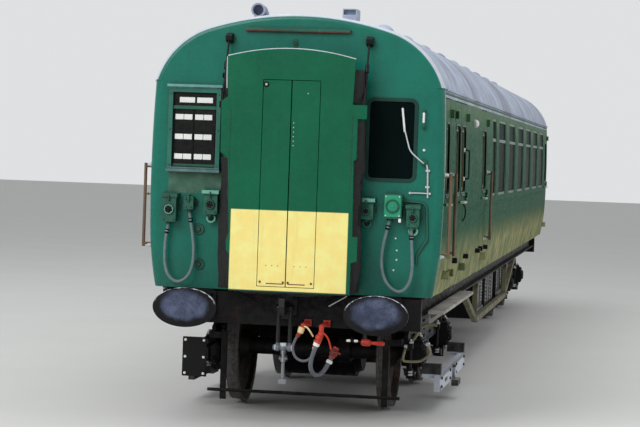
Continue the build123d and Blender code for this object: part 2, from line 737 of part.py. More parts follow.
def roof_ventilators():
    """Two rows of domed ventilators, and the hood and the box at the cab end."""
    shapes = []
    for row in range(VENT_COUNT):
        y = VENT_START + row * VENT_PITCH
        base = roof_height(VENT_X - VENT_RADIUS) + SEAT_GAP
        sphere = Pos(VENT_X, y, base + VENT_RISE - VENT_DOME_RADIUS) * Sphere(VENT_DOME_RADIUS)
        dome = sphere & block((VENT_X - VENT_RADIUS * 2, VENT_X + VENT_RADIUS * 2),
                              (y - VENT_RADIUS * 2, y + VENT_RADIUS * 2), (base, base + VENT_RISE + 1))
        shapes += mirrored([dome])
    under = body_block(-SEAT_GAP, (0, 2 * HOOD_END), SKIRT_BOTTOM)
    axis = roof_height(HOOD_X) + HOOD_RADIUS + HOOD_LIFT
    hood = turned([(0, HOOD_RADIUS - HOOD_WALL), (0, HOOD_RADIUS + HOOD_WALL), (HOOD_WALL, HOOD_RADIUS),
                   (HOOD_LENGTH - HOOD_RADIUS, HOOD_RADIUS), (HOOD_LENGTH, HOOD_RADIUS / 3), (HOOD_LENGTH, 0),
                   (HOOD_LENGTH / 2, 0), (HOOD_LENGTH / 2, HOOD_RADIUS - HOOD_WALL)],
                  (-HOOD_X, HOOD_START, axis), (0, 1, 0))
    foot = block((-HOOD_X - HOOD_RADIUS, HOOD_RADIUS - HOOD_X), (HOOD_START + HOOD_LENGTH / 2, HOOD_END),
                 (roof_height(HOOD_X + HOOD_RADIUS) - WALL, axis))
    shapes.append(hood + foot - under)
    low, high = HOOD_X - BOX_WIDTH / 2, HOOD_X + BOX_WIDTH / 2
    top = roof_height(low) + BOX_RISE
    box = block((low, high), (HOOD_START, HOOD_END), (roof_height(high) - WALL, top))
    slot = block((low + HOOD_WALL, high - HOOD_WALL), (HOOD_START - 1, HOOD_START + BOX_WIDTH / 2),
                 (top - BOX_SLOT - HOOD_WALL, top - HOOD_WALL))
    shapes.append(box - slot - under)
    return shapes


# Doors

def hinge(standoff, pin_radius, knuckle_radius):
    """A hinge about the origin: X is the way that the leaf opens, Y points from the axis over the leaf.

    The faces that it sits on are the standoff behind the axis.
    Returns the arms with the pin, and the knuckle.
    """
    root = -standoff - HINGE_ROOT
    low, high = HINGE_HALF_HEIGHT + HINGE_FIT, HINGE_HALF_HEIGHT + HINGE_ARM
    fixed = [rod((0, 0, -high), (0, 0, high), pin_radius)]
    for side in (-1, 1):
        z = tuple(sorted((side * low, side * high)))
        fixed.append(block((root, knuckle_radius), (-HINGE_STRAP, 0), z))
        fixed.append(rod((0, 0, z[0]), (0, 0, z[1]), knuckle_radius))
    height = (-HINGE_HALF_HEIGHT, HINGE_HALF_HEIGHT)
    knuckle = rod((0, 0, height[0]), (0, 0, height[1]), knuckle_radius)
    link = block((-knuckle_radius / 2, knuckle_radius), (0, DOOR_HINGE_GAP + 2), height)
    strap = block((root, knuckle_radius), (DOOR_HINGE_GAP, HINGE_STRAP), height)
    bore = rod((0, 0, height[0] - 1), (0, 0, height[1] + 1), pin_radius + HINGE_FIT)
    return fused(fixed), fused([knuckle, link, strap]) - bore


DOOR_AXIS_X = WAIST_HALF_WIDTH + DOOR_AXIS_STANDOFF


def door_hinges(edge, free, part):
    """The fixed (0) or the moving (1) part of each hinge of a right side door."""
    up = 1 if free > edge else -1
    pieces = []
    for z in DOOR_HINGES:
        pair = hinge(DOOR_AXIS_X - side_x(z), HINGE_PIN_RADIUS, HINGE_KNUCKLE_RADIUS)
        pieces.append(Plane(origin=(DOOR_AXIS_X, edge, z), x_dir=(1, 0, 0), z_dir=(0, 0, up)) * pair[part])
    return pieces


def door_leaf(hinge_edge, free, meeting):
    """A leaf of the right side between its hinge edge and its free edge, with a bevelled free edge."""
    toward = 1 if free > hinge_edge else -1
    free_face = free - toward * (DOOR_LEAF_MEETING_GAP if meeting else DOOR_FREE_GAP)
    y = sorted((hinge_edge + toward * DOOR_HINGE_GAP, free_face))
    leaf = wall(0, WALL, y, (DOOR_BOTTOM, DOOR_TOP))
    outer = WAIST_HALF_WIDTH + 1
    inner = BOTTOM_HALF_WIDTH - WALL - 10
    past = free_face + toward * WALL
    bevel = toward * (outer - inner) * DOOR_BEVEL
    wedge = outline([(outer, free_face), (inner, free_face - bevel), (inner, past), (outer, past)])
    leaf -= extrude(Plane.XY.offset(DOOR_BOTTOM - 10) * make_face(wedge), DOOR_TOP - DOOR_BOTTOM + 20)
    light = (y[0] + DROPLIGHT_MARGIN, y[1] - DROPLIGHT_MARGIN)
    leaf -= rounded_opening(light, (DROPLIGHT_BOTTOM, DROPLIGHT_TOP), DROPLIGHT_CORNER, SIDE_DEPTH)
    handle_y = free_face - toward * HANDLE_INSET
    bar_x = side_x(HANDLE_HEIGHT) + HANDLE_REACH
    root = side_x(HANDLE_HEIGHT) - 5
    spindle = rod((root, handle_y, HANDLE_HEIGHT), (bar_x, handle_y, HANDLE_HEIGHT), HANDLE_RADIUS)
    low, high = span(handle_y, HANDLE_LENGTH)
    bar = rod((bar_x, low, HANDLE_HEIGHT), (bar_x, high, HANDLE_HEIGHT), HANDLE_RADIUS)
    return fused([leaf, spindle, bar] + door_hinges(hinge_edge, free, 1))


def side_doors():
    ends = [door[2] for door in DOORS]
    for name, edge, free in DOORS:
        leaf = door_leaf(edge, free, ends.count(free) > 1)
        save(f"{name}_right", [leaf])
        save(f"{name}_left", [mirror(leaf, Plane.YZ)])


# Floor and underframe

def floor():
    edge = side_x(BODY_BOTTOM, WALL) - SEAT_GAP
    slab = block((-edge, edge), (FRONT_RETURN, REAR_WALL), (FLOOR_BOTTOM, FLOOR_TOP))
    for low, high in door_openings():
        notch = block((edge - FLOOR_NOTCH, edge + 1), (low, high), (FLOOR_BOTTOM - 1, FLOOR_TOP + 1))
        slab -= notch
        slab -= mirror(notch, Plane.YZ)
    return [slab]


def crossbar_places():
    """Y of the bars across the frame: a row in the middle and one near each end."""
    first = (BODY_LENGTH - CROSSBAR_SPAN) / 2
    step = CROSSBAR_SPAN / (CROSSBAR_COUNT - 1)
    row = [first + bar * step for bar in range(CROSSBAR_COUNT)]
    return [END_CROSSBAR] + row + [BODY_LENGTH - END_CROSSBAR]


SILL_INNER = CENTRE_SILL_X - CENTRE_SILL_WIDTH / 2
SILL_OUTER = CENTRE_SILL_X + CENTRE_SILL_WIDTH / 2
SOLEBAR_INNER = SOLEBAR_OUTER - SOLEBAR_FLANGE


def across(y, width, z):
    """A member across the frame at y: the length between the sills, and the two out to the solebars."""
    y = span(y, width)
    middle = block((SEAT_GAP - SILL_INNER, SILL_INNER - SEAT_GAP), y, z)
    return [middle] + mirrored([block((SILL_OUTER + SEAT_GAP, SOLEBAR_INNER - SEAT_GAP), y, z)])


def underframe():
    """Solebars, centre sills, crossbars, bolsters with their pivot pins, and headstocks."""
    z = (SOLEBAR_BOTTOM, FLOOR_BOTTOM)
    ends = (HEADSTOCK_SETBACK, BODY_LENGTH - HEADSTOCK_SETBACK)
    inside = (ends[0] + HEADSTOCK_DEPTH + SEAT_GAP, ends[1] - HEADSTOCK_DEPTH - SEAT_GAP)
    web = block((SOLEBAR_INNER, SOLEBAR_INNER + SOLEBAR_WEB), inside, z)
    lower = block((SOLEBAR_INNER, SOLEBAR_OUTER), inside, (z[0], z[0] + SOLEBAR_WEB))
    upper = block((SOLEBAR_INNER, SOLEBAR_OUTER), inside, (z[1] - SOLEBAR_WEB, z[1]))
    sill = block((SILL_INNER, SILL_OUTER), inside, (CROSSBAR_BOTTOM, FLOOR_BOTTOM))
    shapes = mirrored([web + lower + upper, sill])
    for y in crossbar_places():
        shapes += across(y, CROSSBAR_WIDTH, (CROSSBAR_BOTTOM, FLOOR_BOTTOM))
    for pivot in (FRONT_PIVOT_Y, REAR_PIVOT_Y):
        middle, *outer = across(pivot, BOLSTER_WIDTH, z)
        pin = rod((0, pivot, PIVOT_PIN_BOTTOM), (0, pivot, SOLEBAR_BOTTOM + 1), PIVOT_PIN_RADIUS)
        pad = rod((0, pivot, BOGIE_BOLSTER_TOP + SEAT_GAP), (0, pivot, SOLEBAR_BOTTOM + 1), PIVOT_PAD_RADIUS)
        shapes += [fused([middle, pin, pad])] + outer
    beam = (-HEADSTOCK_HALF_WIDTH, HEADSTOCK_HALF_WIDTH)
    shapes.append(block(beam, (ends[0], ends[0] + HEADSTOCK_DEPTH), (HEADSTOCK_BOTTOM, FLOOR_BOTTOM)))
    shapes.append(block(beam, (ends[1] - HEADSTOCK_DEPTH, ends[1]), (HEADSTOCK_BOTTOM, FLOOR_BOTTOM)))
    return shapes


def underframe_truss():
    middle = FRONT_PIVOT_Y + BOGIE_CENTRES / 2
    top = SOLEBAR_BOTTOM
    ends = (middle - TRUSS_HALF_LENGTH, middle + TRUSS_HALF_LENGTH)
    flats = (middle - TRUSS_FLAT, middle + TRUSS_FLAT)
    outer = [(ends[0], top), (flats[0], TRUSS_BOTTOM), (flats[1], TRUSS_BOTTOM), (ends[1], top)]
    slope = atan2(top - TRUSS_BOTTOM, flats[0] - ends[0])
    run = TRUSS_BAR / sin(slope)
    shift = TRUSS_BAR * tan(slope / 2)
    inner = [(ends[0] + run, top), (flats[0] + shift, TRUSS_BOTTOM + TRUSS_BAR),
             (flats[1] - shift, TRUSS_BOTTOM + TRUSS_BAR), (ends[1] - run, top)]
    x = (SOLEBAR_OUTER - TRUSS_INSET, SOLEBAR_OUTER - TRUSS_INSET + TRUSS_THICKNESS)
    edges = [outline(outer + inner[::-1])]
    truss = profile_yz(edges, x)
    for y in flats:
        truss += block(x, (y - QUEEN_POST / 2, y + QUEEN_POST / 2), (TRUSS_BOTTOM + 5, top))
    return mirrored([truss])


# Bogies

def wheel(x_inner):
    """One wheel, its flange toward the middle, on the right side."""
    flange_end = x_inner + FLANGE_WIDTH
    rim_end = x_inner + RIM_WIDTH
    rim_inside = WHEEL_RADIUS - RIM_THICKNESS
    web_low = x_inner + (RIM_WIDTH - WEB_THICKNESS) / 2
    web_high = web_low + WEB_THICKNESS
    hub_low = x_inner + (RIM_WIDTH - HUB_WIDTH) / 2
    hub_high = hub_low + HUB_WIDTH
    bore = AXLE_RADIUS + SEAT_GAP
    points = [
        (hub_low, bore), (hub_low, HUB_RADIUS), (web_low + WEB_DISH, HUB_RADIUS + WEB_ROOT),
        (web_low - WEB_DISH, rim_inside - RIM_ROOT),
        (x_inner, rim_inside), (x_inner, FLANGE_RADIUS - 12), (x_inner + 10, FLANGE_RADIUS),
        (x_inner + 20, FLANGE_RADIUS), (flange_end, WHEEL_RADIUS), (rim_end, WHEEL_RADIUS - 5),
        (rim_end, rim_inside), (web_high - WEB_DISH, rim_inside - RIM_ROOT),
        (web_high + WEB_DISH, HUB_RADIUS + WEB_ROOT), (hub_high, HUB_RADIUS), (hub_high, bore),
    ]
    return revolve(make_face(outline(points)), Axis.X)


def axle():
    seat_end = BACK_TO_BACK / 2 + RIM_WIDTH / 2 + HUB_WIDTH / 2 + 6
    end = JOURNAL_CENTRE + JOURNAL_LENGTH / 2
    points = [(0, 0), (end, 0), (end, JOURNAL_RADIUS), (seat_end, JOURNAL_RADIUS), (seat_end, AXLE_RADIUS),
              (0, AXLE_RADIUS)]
    half = revolve(make_face(outline(points)), Axis.X)
    return half + mirror(half, Plane.YZ)


def wheelset(y):
    right = wheel(BACK_TO_BACK / 2)
    return [Pos(0, y, AXLE_HEIGHT) * shape for shape in (right, mirror(right, Plane.YZ), axle())]


def axle_offsets():
    return (-WHEELBASE / 2, WHEELBASE / 2)


def side_frame(pivot):
    """Pressed side frame with a horn gap over each axlebox and a lip along its top."""
    half = WHEELBASE / 2
    end = half + SIDE_FRAME_OVERHANG
    shoulder = half - SIDE_FRAME_SHOULDER
    brow = SIDE_FRAME_TOP - SIDE_FRAME_SHOULDER_DROP
    low_end = AXLE_HEIGHT + HORN_CHEEK
    horn = HORN_WIDTH / 2
    foot = AXLE_HEIGHT - HORN_CHEEK_DEPTH
    right = [
        (half - SIDE_FRAME_BROW - horn, SIDE_FRAME_MIDDLE), (half - horn - HORN_CHEEK, foot),
        (half + horn + HORN_CHEEK, foot), (half + horn + HORN_FLARE, low_end - HORN_CHEEK), (end, low_end),
        (end, SIDE_FRAME_TOP - SIDE_FRAME_END_DROP), (half + SIDE_FRAME_BROW, brow),
        (shoulder, SIDE_FRAME_TOP),
    ]
    left = [(-y, z) for y, z in right[::-1]]
    x = (SIDE_FRAME_INNER, SIDE_FRAME_INNER + SIDE_FRAME_THICKNESS)
    plate = Pos(0, pivot, 0) * profile_yz([outline(right + left)], x)
    for offset in axle_offsets():
        gap = span(pivot + offset, HORN_WIDTH)
        top = AXLE_HEIGHT + AXLEBOX_HEIGHT / 2 + HORN_TOP_CLEARANCE
        plate -= block((x[0] - 1, x[1] + 1), gap, (0, top))
    lip_z = (SIDE_FRAME_TOP - SIDE_FRAME_LIP_THICKNESS, SIDE_FRAME_TOP)
    pieces = [plate, block((x[1] - 1, x[1] + SIDE_FRAME_LIP), span(pivot, 2 * shoulder), lip_z)]
    for offset in axle_offsets():
        for y in hanger_places(pivot + offset):
            z = (HANGER_BRACKET_BOTTOM, HANGER_BRACKET_BOTTOM + HANGER_BRACKET_DEPTH)
            pieces.append(block((x[1] - 1, x[1] + HANGER_BRACKET_REACH), span(y, HANGER_BRACKET_WIDTH), z))
        side = 1 if offset < 0 else -1
        y = pivot + offset + side * (WHEEL_RADIUS + BRAKE_GAP + BRAKE_BLOCK_THICKNESS + HANGER_AHEAD)
        z = (BRAKE_HANGER_TOP + SEAT_GAP, BRAKE_HANGER_TOP + BRAKE_BRACKET_DEPTH)
        bracket_x = (BRAKE_X - BRAKE_BRACKET_REACH, SIDE_FRAME_INNER + 1)
        pieces.append(block(bracket_x, span(y, BRAKE_BRACKET_WIDTH), z))
    return fused(pieces)


def bogie_frame(pivot):
    """Side frames joined by two transoms and the bolster that the pivot pin turns in."""
    x = (-SIDE_FRAME_INNER - 1, SIDE_FRAME_INNER + 1)
    pieces = mirrored([side_frame(pivot)])
    for side in (-1, 1):
        y = span(pivot + side * TRANSOM_Y, TRANSOM_WIDTH)
        pieces.append(block(x, y, (TRANSOM_BOTTOM, TRANSOM_TOP)))
    top = SIDE_FRAME_TOP - BOLSTER_BELOW_FRAME
    pieces.append(block(x, span(pivot, 2 * BOGIE_BOLSTER_HALF_WIDTH), (BOGIE_BOLSTER_BOTTOM, top)))
    pieces.append(rod((0, pivot, top - 10), (0, pivot, BOGIE_BOLSTER_TOP), PIVOT_PAD_RADIUS))
    bore = rod((0, pivot, BOGIE_BOLSTER_BOTTOM - 1), (0, pivot, BOGIE_BOLSTER_TOP + 1),
               PIVOT_PIN_RADIUS + PIVOT_CLEARANCE)
    return [fused(pieces) - bore]


def axleboxes(pivot):
    """Boxes over the journals, with a stepped cover on the outer face."""
    half_width = HORN_WIDTH / 2 - HORN_CLEARANCE
    x = span(JOURNAL_CENTRE, AXLEBOX_DEPTH)
    bore_end = JOURNAL_CENTRE + JOURNAL_LENGTH / 2 + SEAT_GAP
    radius, reach = AXLEBOX_COVER_RADIUS, AXLEBOX_COVER_REACH
    shoulder, rim, nose = AXLEBOX_COVER_STEPS
    cover = [(-1, 0), (-1, radius), (reach / 3, radius), (reach / 3, shoulder), (0.8 * reach, rim),
             (reach, nose), (reach, 0)]
    boxes = []
    for offset in axle_offsets():
        y = pivot + offset
        plane = Plane(origin=(x[0], y, AXLE_HEIGHT), x_dir=(0, 1, 0), z_dir=(1, 0, 0))
        section = RectangleRounded(2 * half_width, AXLEBOX_HEIGHT, AXLEBOX_CORNER)
        box = extrude(plane * section, AXLEBOX_DEPTH) + turned(cover, (x[1], y, AXLE_HEIGHT), (1, 0, 0))
        bore = rod((x[0] - 1, y, AXLE_HEIGHT), (bore_end, y, AXLE_HEIGHT), JOURNAL_RADIUS + JOURNAL_CLEARANCE)
        boxes.append(box - bore)
    return mirrored(boxes)


def hanger_places(y):
    """Y of the two spring hangers of the axlebox at y."""
    reach = SPRING_LENGTH / 2 - HANGER_ROD_RADIUS - 6
    return y - reach, y + reach


def leaf_spring(y):
    """Laminated spring under one axlebox, its eyes up at the frame."""
    x = (JOURNAL_CENTRE - SPRING_WIDTH / 2, JOURNAL_CENTRE + SPRING_WIDTH / 2)
    top = AXLE_HEIGHT - AXLEBOX_HEIGHT / 2 - SPRING_DROP
    leaves = []
    for leaf in range(SPRING_LEAF_COUNT):
        half = SPRING_LENGTH / 2 * (1 - leaf / (SPRING_LEAF_COUNT + 1))
        drop = SPRING_CAMBER * (half / (SPRING_LENGTH / 2)) ** 2
        high = top - leaf * SPRING_LEAF_THICKNESS
        low = high - SPRING_LEAF_THICKNESS
        edges = [
            ThreePointArc((y - half, high + drop), (y, high), (y + half, high + drop)),
            Line((y + half, high + drop), (y + half, low + drop)),
            ThreePointArc((y + half, low + drop), (y, low), (y - half, low + drop)),
            Line((y - half, low + drop), (y - half, high + drop)),
        ]
        leaves.append(profile_yz(edges, x))
    low = top - SPRING_LEAF_COUNT * SPRING_LEAF_THICKNESS - SPRING_BUCKLE_MARGIN
    buckle = block(span(JOURNAL_CENTRE, SPRING_WIDTH + 2 * SPRING_BUCKLE_MARGIN),
                   span(y, 2 * SPRING_BUCKLE_HALF_LENGTH), (low, AXLE_HEIGHT - AXLEBOX_HEIGHT / 2))
    rod_x = SIDE_FRAME_INNER + SIDE_FRAME_THICKNESS + HANGER_BRACKET_REACH / 2
    ends = (top - SPRING_EYE_DROP, HANGER_BRACKET_BOTTOM - SEAT_GAP)
    hangers = [rod(*[(rod_x, end, z) for z in ends], HANGER_ROD_RADIUS) for end in hanger_places(y)]
    return fused(leaves + [buckle] + hangers)


def springs(pivot):
    return mirrored([leaf_spring(pivot + offset) for offset in axle_offsets()])


def wheel_arc_face(y, side, radius_low, radius_high, half_height):
    """Profile in the YZ plane of a curved block beside a wheel at y, on its side toward +Y or -Y."""
    half_angle = asin(half_height / radius_low)

    def at(radius, angle):
        return y + side * radius * cos(angle), AXLE_HEIGHT + radius * sin(angle)

    edges = [
        ThreePointArc(at(radius_low, -half_angle), at(radius_low, 0), at(radius_low, half_angle)),
        Line(at(radius_low, half_angle), at(radius_high, half_angle)),
        ThreePointArc(at(radius_high, half_angle), at(radius_high, 0), at(radius_high, -half_angle)),
        Line(at(radius_high, -half_angle), at(radius_low, -half_angle)),
    ]
    return edges


def brakes(pivot, beams):
    """Brake blocks beside each wheel on their hangers, joined across the bogie where there is room."""
    shapes = []
    low = WHEEL_RADIUS + BRAKE_GAP
    high = low + BRAKE_BLOCK_THICKNESS
    hanger_z = (AXLE_HEIGHT - HANGER_DROP, BRAKE_HANGER_TOP)
    for offset in axle_offsets():
        side = 1 if offset < 0 else -1
        y = pivot + offset
        face = wheel_arc_face(y, side, low, high, BRAKE_BLOCK_HEIGHT / 2)
        shoe = profile_yz(face, span(BRAKE_X, BRAKE_BLOCK_WIDTH))
        middle = y + side * (high + HANGER_AHEAD)
        pair = mirrored([shoe + block(span(BRAKE_X, HANGER_WIDTH), span(middle, HANGER_DEPTH), hanger_z)])
        if beams:
            beam_y = middle + side * BRAKE_BEAM_SETBACK
            ends = [(x, beam_y, AXLE_HEIGHT) for x in (-BRAKE_X, BRAKE_X)]
            pair = [fused(pair + [rod(*ends, BRAKE_BEAM_RADIUS)])]
        shapes += pair
    return shapes


def traction_motors(pivot):
    """Axle-hung motors: case with stepped ends, two arms round the axle and a nose on the transom."""
    motors = []
    half = MOTOR_HALF_LENGTH
    shoulder = half - MOTOR_END_DEPTH
    section = [(shoulder, MOTOR_RADIUS), (shoulder, MOTOR_SHOULDER_RADIUS),
               (half, MOTOR_END_RADIUS), (half, 0)]
    section += [(-x, radius) for x, radius in section[::-1]]
    case = turned(section, (0, 0, MOTOR_AXIS_HEIGHT), (1, 0, 0))
    arm_z = span(AXLE_HEIGHT, MOTOR_ARM_HEIGHT)
    nose_z = (TRANSOM_BOTTOM + MOTOR_NOSE_MARGIN[0], TRANSOM_TOP - MOTOR_NOSE_MARGIN[1])
    arm_x = shoulder - MOTOR_ARM_WIDTH / 2
    for offset in axle_offsets():
        side = 1 if offset < 0 else -1
        axle_y = pivot + offset
        axis_y = axle_y + side * MOTOR_OFFSET
        transom_face = pivot - side * (TRANSOM_Y + TRANSOM_WIDTH / 2 + SEAT_GAP)
        pieces = [Pos(0, axis_y, 0) * case]
        pieces.append(block(span(0, NOSE_WIDTH), sorted((axis_y, transom_face)), nose_z))
        for x in (-arm_x, arm_x):
            arm = span(x, MOTOR_ARM_WIDTH)
            cap = [(end, axle_y, AXLE_HEIGHT) for end in arm]
            pieces.append(block(arm, sorted((axle_y, axis_y)), arm_z))
            pieces.append(rod(*cap, AXLE_RADIUS + MOTOR_AXLE_CAP))
        ends = [(x, axle_y, AXLE_HEIGHT) for x in (-2 * half, 2 * half)]
        motors.append(fused(pieces) - rod(*ends, AXLE_RADIUS + JOURNAL_CLEARANCE))
    return motors


def shoe_gear(pivot):
    """Timber beams between the axleboxes, each with a collector shoe hung below its middle."""
    inner, outer = span(SHOE_BEAM_X, SHOE_BEAM_THICKNESS)
    beam_y = span(pivot, 2 * SHOE_BEAM_HALF_LENGTH)
    box_face = JOURNAL_CENTRE + AXLEBOX_DEPTH / 2 + SEAT_GAP
    parts = [block((inner, outer), beam_y, (SHOE_BEAM_BOTTOM, SHOE_BEAM_TOP))]
    bracket_z = (SHOE_BEAM_TOP - SHOE_BRACKET_OVERLAP, SHOE_BRACKET_TOP)
    for offset in axle_offsets():
        parts.append(block((box_face, outer), span(pivot + offset, SHOE_BRACKET_WIDTH), bracket_z))
    low = SHOE_BEAM_BOTTOM - SHOE_DROP
    shoe_z = (low, low + SHOE_THICKNESS)
    parts.append(block((outer - 1, outer + SHOE_REACH), span(pivot, SHOE_LENGTH), shoe_z))
    plate_z = (SHOE_BEAM_BOTTOM, SHOE_BEAM_TOP - SHOE_PLATE_MARGIN)
    parts.append(block((outer - 1, outer + SHOE_PLATE), span(pivot, SHOE_PLATE_WIDTH), plate_z))
    return mirrored([fused(parts)])


# Front fittings

def oval_head(reach):
    """Oval buffer head, its face lightly domed, reaching to -reach."""
    plane = Plane(origin=(0, -reach, 0), x_dir=(1, 0, 0), z_dir=(0, -1, 0))
    oval = extrude(plane * Ellipse(BUFFER_HEAD_WIDTH / 2, BUFFER_HEAD_HEIGHT / 2), -BUFFER_HEAD_THICKNESS)
    return oval & Pos(0, BUFFER_DOME_RADIUS - reach, 0) * Sphere(BUFFER_DOME_RADIUS)


def buffer():
    """A side buffer about its axis: ribbed base, stepped case, spindle and head with its boss."""
    face = HEADSTOCK_SETBACK
    base_edges = span(0, BUFFER_BASE) + span(0, BUFFER_BASE_HEIGHT)
    base = front_plate(base_edges, 0, BUFFER_BASE_CORNER, (face - BUFFER_BASE_THICKNESS, face))
    root = BUFFER_BASE_THICKNESS - 5
    collar = BUFFER_CASE_LENGTH - BUFFER_COLLAR
    back = BUFFER_REACH + face - BUFFER_HEAD_THICKNESS
    body = turned([
        (root, 0), (root, BUFFER_CASE_ROOT_RADIUS), (collar, BUFFER_CASE_RADIUS),
        (collar, BUFFER_COLLAR_RADIUS), (BUFFER_CASE_LENGTH, BUFFER_COLLAR_RADIUS),
        (BUFFER_CASE_LENGTH, BUFFER_SPINDLE_RADIUS), (back - BUFFER_BOSS_LENGTH, BUFFER_SPINDLE_RADIUS),
        (back + 2, BUFFER_BOSS_RADIUS), (back + 2, 0),
    ], (0, face, 0), (0, -1, 0))
    corner = (BUFFER_BASE - BUFFER_BASE_CORNER) / 2
    low = BUFFER_CASE_RADIUS - BUFFER_RIB_ROOT
    rib_edges = outline([(root, low), (root, corner), (collar / 2, BUFFER_CASE_ROOT_RADIUS - BUFFER_RIB_ROOT),
                         (collar / 2, low)])
    rib_plane = Plane(origin=(0, face, -BUFFER_RIB_THICKNESS / 2), x_dir=(0, -1, 0), z_dir=(0, 0, 1))
    rib = extrude(rib_plane * make_face(rib_edges), BUFFER_RIB_THICKNESS)
    return fused([base, body, oval_head(BUFFER_REACH), rib, Rot(0, 180, 0) * rib])


def buffers():
    return [Pos(side * BUFFER_X, 0, BUFFER_HEIGHT) * buffer() for side in (-1, 1)]


def draw_gear():
    """Draw hook, and the screw coupling that hangs from the pin through its shank."""
    face = HEADSTOCK_SETBACK
    pin_y = face - LINK_SETBACK
    wide, high, thick = DRAW_PLATE
    plate_edges = span(HOOK_X, wide) + span(BUFFER_HEIGHT, high)
    plate = front_plate(plate_edges, 0, HOOK_CORNER, (face - thick, face))
    points = [(face - ahead, BUFFER_HEIGHT + up) for ahead, up in HOOK_OUTLINE]
    hook = profile_yz([smooth(points, HOOK_CORNER)], span(HOOK_X, HOOK_WIDTH))
    hook -= block(span(HOOK_X, 2 * HOOK_WIDTH), (face, face + HOOK_WIDTH), span(BUFFER_HEIGHT, 2 * high))

    def bar(z, half, radius):
        return rod((HOOK_X - half, pin_y, z), (HOOK_X + half, pin_y, z), radius)

    half = LINK_X + LINK_EYE_WIDTH / 2
    pieces = [plate, hook, bar(BUFFER_HEIGHT, half + 6, SCREW_RADIUS)]
    pieces.append(bar(TRUNNION_HEIGHT, half + TRUNNION_OVERHANG, TRUNNION_RADIUS))
    pieces.append(Pos(HOOK_X, pin_y, TRUNNION_HEIGHT) * Sphere(SCREW_BALL_RADIUS))
    for side in (-1, 1):
        x = HOOK_X + side * LINK_X
        pieces.append(rod((x, pin_y, TRUNNION_HEIGHT), (x, pin_y, BUFFER_HEIGHT), LINK_RADIUS))
        for z in (TRUNNION_HEIGHT, BUFFER_HEIGHT):
            eye = [(end, pin_y, z) for end in span(x, LINK_EYE_WIDTH)]
            pieces.append(rod(*eye, LINK_EYE_RADIUS))
    pieces.append(rod((HOOK_X, pin_y, SCREW_END), (HOOK_X, pin_y, TRUNNION_HEIGHT), SCREW_RADIUS))
    pieces.append(bar(SCREW_END, LINK_X - LINK_RADIUS, TRUNNION_RADIUS))
    pieces.append(rod((HOOK_X, pin_y, SHACKLE_END), (HOOK_X, pin_y, SCREW_END), SHACKLE_RADIUS))
    wide, deep, high = SHACKLE_FOOT
    pieces.append(block(span(HOOK_X, wide), span(pin_y, deep), (SHACKLE_END - high, SHACKLE_END + 2)))
    return [fused(pieces)]


def inner_coupling():
    """Centre buffer of the inner end with the coupling bar below it."""
    y = BODY_LENGTH - HEADSTOCK_SETBACK
    end = BODY_LENGTH + COUPLING_REACH
    height = CENTRE_BUFFER_HEIGHT
    wide, high, thick = CENTRE_BUFFER_SIZE
    case_end = y + CENTRE_CASE_LENGTH
    eye_y = end - COUPLING_EYE_RADIUS - COUPLING_EYE_SETBACK
    drop_z = (COUPLING_BAR_HEIGHT - 50, height)
    eye = [(0, eye_y, z) for z in span(COUPLING_BAR_HEIGHT, COUPLING_EYE_HEIGHT)]
    bore = [(0, eye_y, z) for z in span(COUPLING_BAR_HEIGHT, 2 * COUPLING_EYE_HEIGHT)]
    pieces = [
        rod((0, y, height), (0, case_end, height), BUFFER_CASE_RADIUS),
        rod((0, case_end - 10, height), (0, end - thick / 2, height), BUFFER_SPINDLE_RADIUS),
        block(span(0, wide), (end - thick, end), span(height, high)),
        block(span(0, COUPLING_DROP[0]), (y, y + COUPLING_DROP[1]), drop_z),
        block(span(0, COUPLING_BAR[0]), (y, eye_y), span(COUPLING_BAR_HEIGHT, COUPLING_BAR[1])),
        rod(*eye, COUPLING_EYE_RADIUS),
    ]
    return [fused(pieces) - rod(*bore, COUPLING_EYE_BORE)]


def gangway_board():
    """End board over the gangway, its edge stepped round its fittings, with the double doorway cut."""
    left_shoulder, right_shoulder = BOARD_SHOULDER_X
    right = BOARD_RIGHT_EDGE + ((BOARD_RIGHT_EDGE[-1][0], BOARD_EAR - BOARD_EAR_DEPTH),
                                (BOARD_EAR_X[1], BOARD_EAR - BOARD_EAR_DEPTH), (BOARD_EAR_X[1], BOARD_EAR),
                                (BOARD_NECK_X[1], BOARD_EAR + 2), (right_shoulder, BOARD_SHOULDER))
    left = BOARD_LEFT_EDGE + ((BOARD_EAR_X[0], BOARD_EAR), (BOARD_NECK_X[0], BOARD_EAR + BOARD_NECK_RISE),
                              (left_shoulder, BOARD_SHOULDER))
    edges = [Polyline(*right), ThreePointArc(right[-1], (0, BOARD_CROWN), left[-1]), Polyline(*left),
             Line(left[0], right[0])]
    y = (BOARD_FRONT, BOARD_FRONT + BOARD_THICKNESS)
    board = profile_xz(edges, y)
    doorway = (-BOARD_DOOR_HALF_WIDTH, BOARD_DOOR_HALF_WIDTH)
    board -= block(doorway, (y[0] - 1, y[1] + 1), (BOARD_DOOR_BOTTOM, BOARD_DOOR_TOP))
    return [fused([board] + mirrored(leaf_hinges(0)))]


LEAF_AXIS_Y = BOARD_FRONT + LEAF_THICKNESS + LEAF_AXIS_STANDOFF


def leaf_hinges(part):
    """The fixed (0) or the moving (1) parts of the hinges of the right gangway leaf."""
    face = BOARD_FRONT + (LEAF_THICKNESS if part else BOARD_THICKNESS)
    pieces = []
    for z in LEAF_HINGES:
        pair = hinge(LEAF_AXIS_Y - face, LEAF_PIN_RADIUS, LEAF_KNUCKLE_RADIUS)
        pieces.append(Plane(origin=(BOARD_DOOR_HALF_WIDTH, LEAF_AXIS_Y, z), x_dir=(0, 1, 0), z_dir=(0, 0, 1))
                      * pair[part])
    return pieces


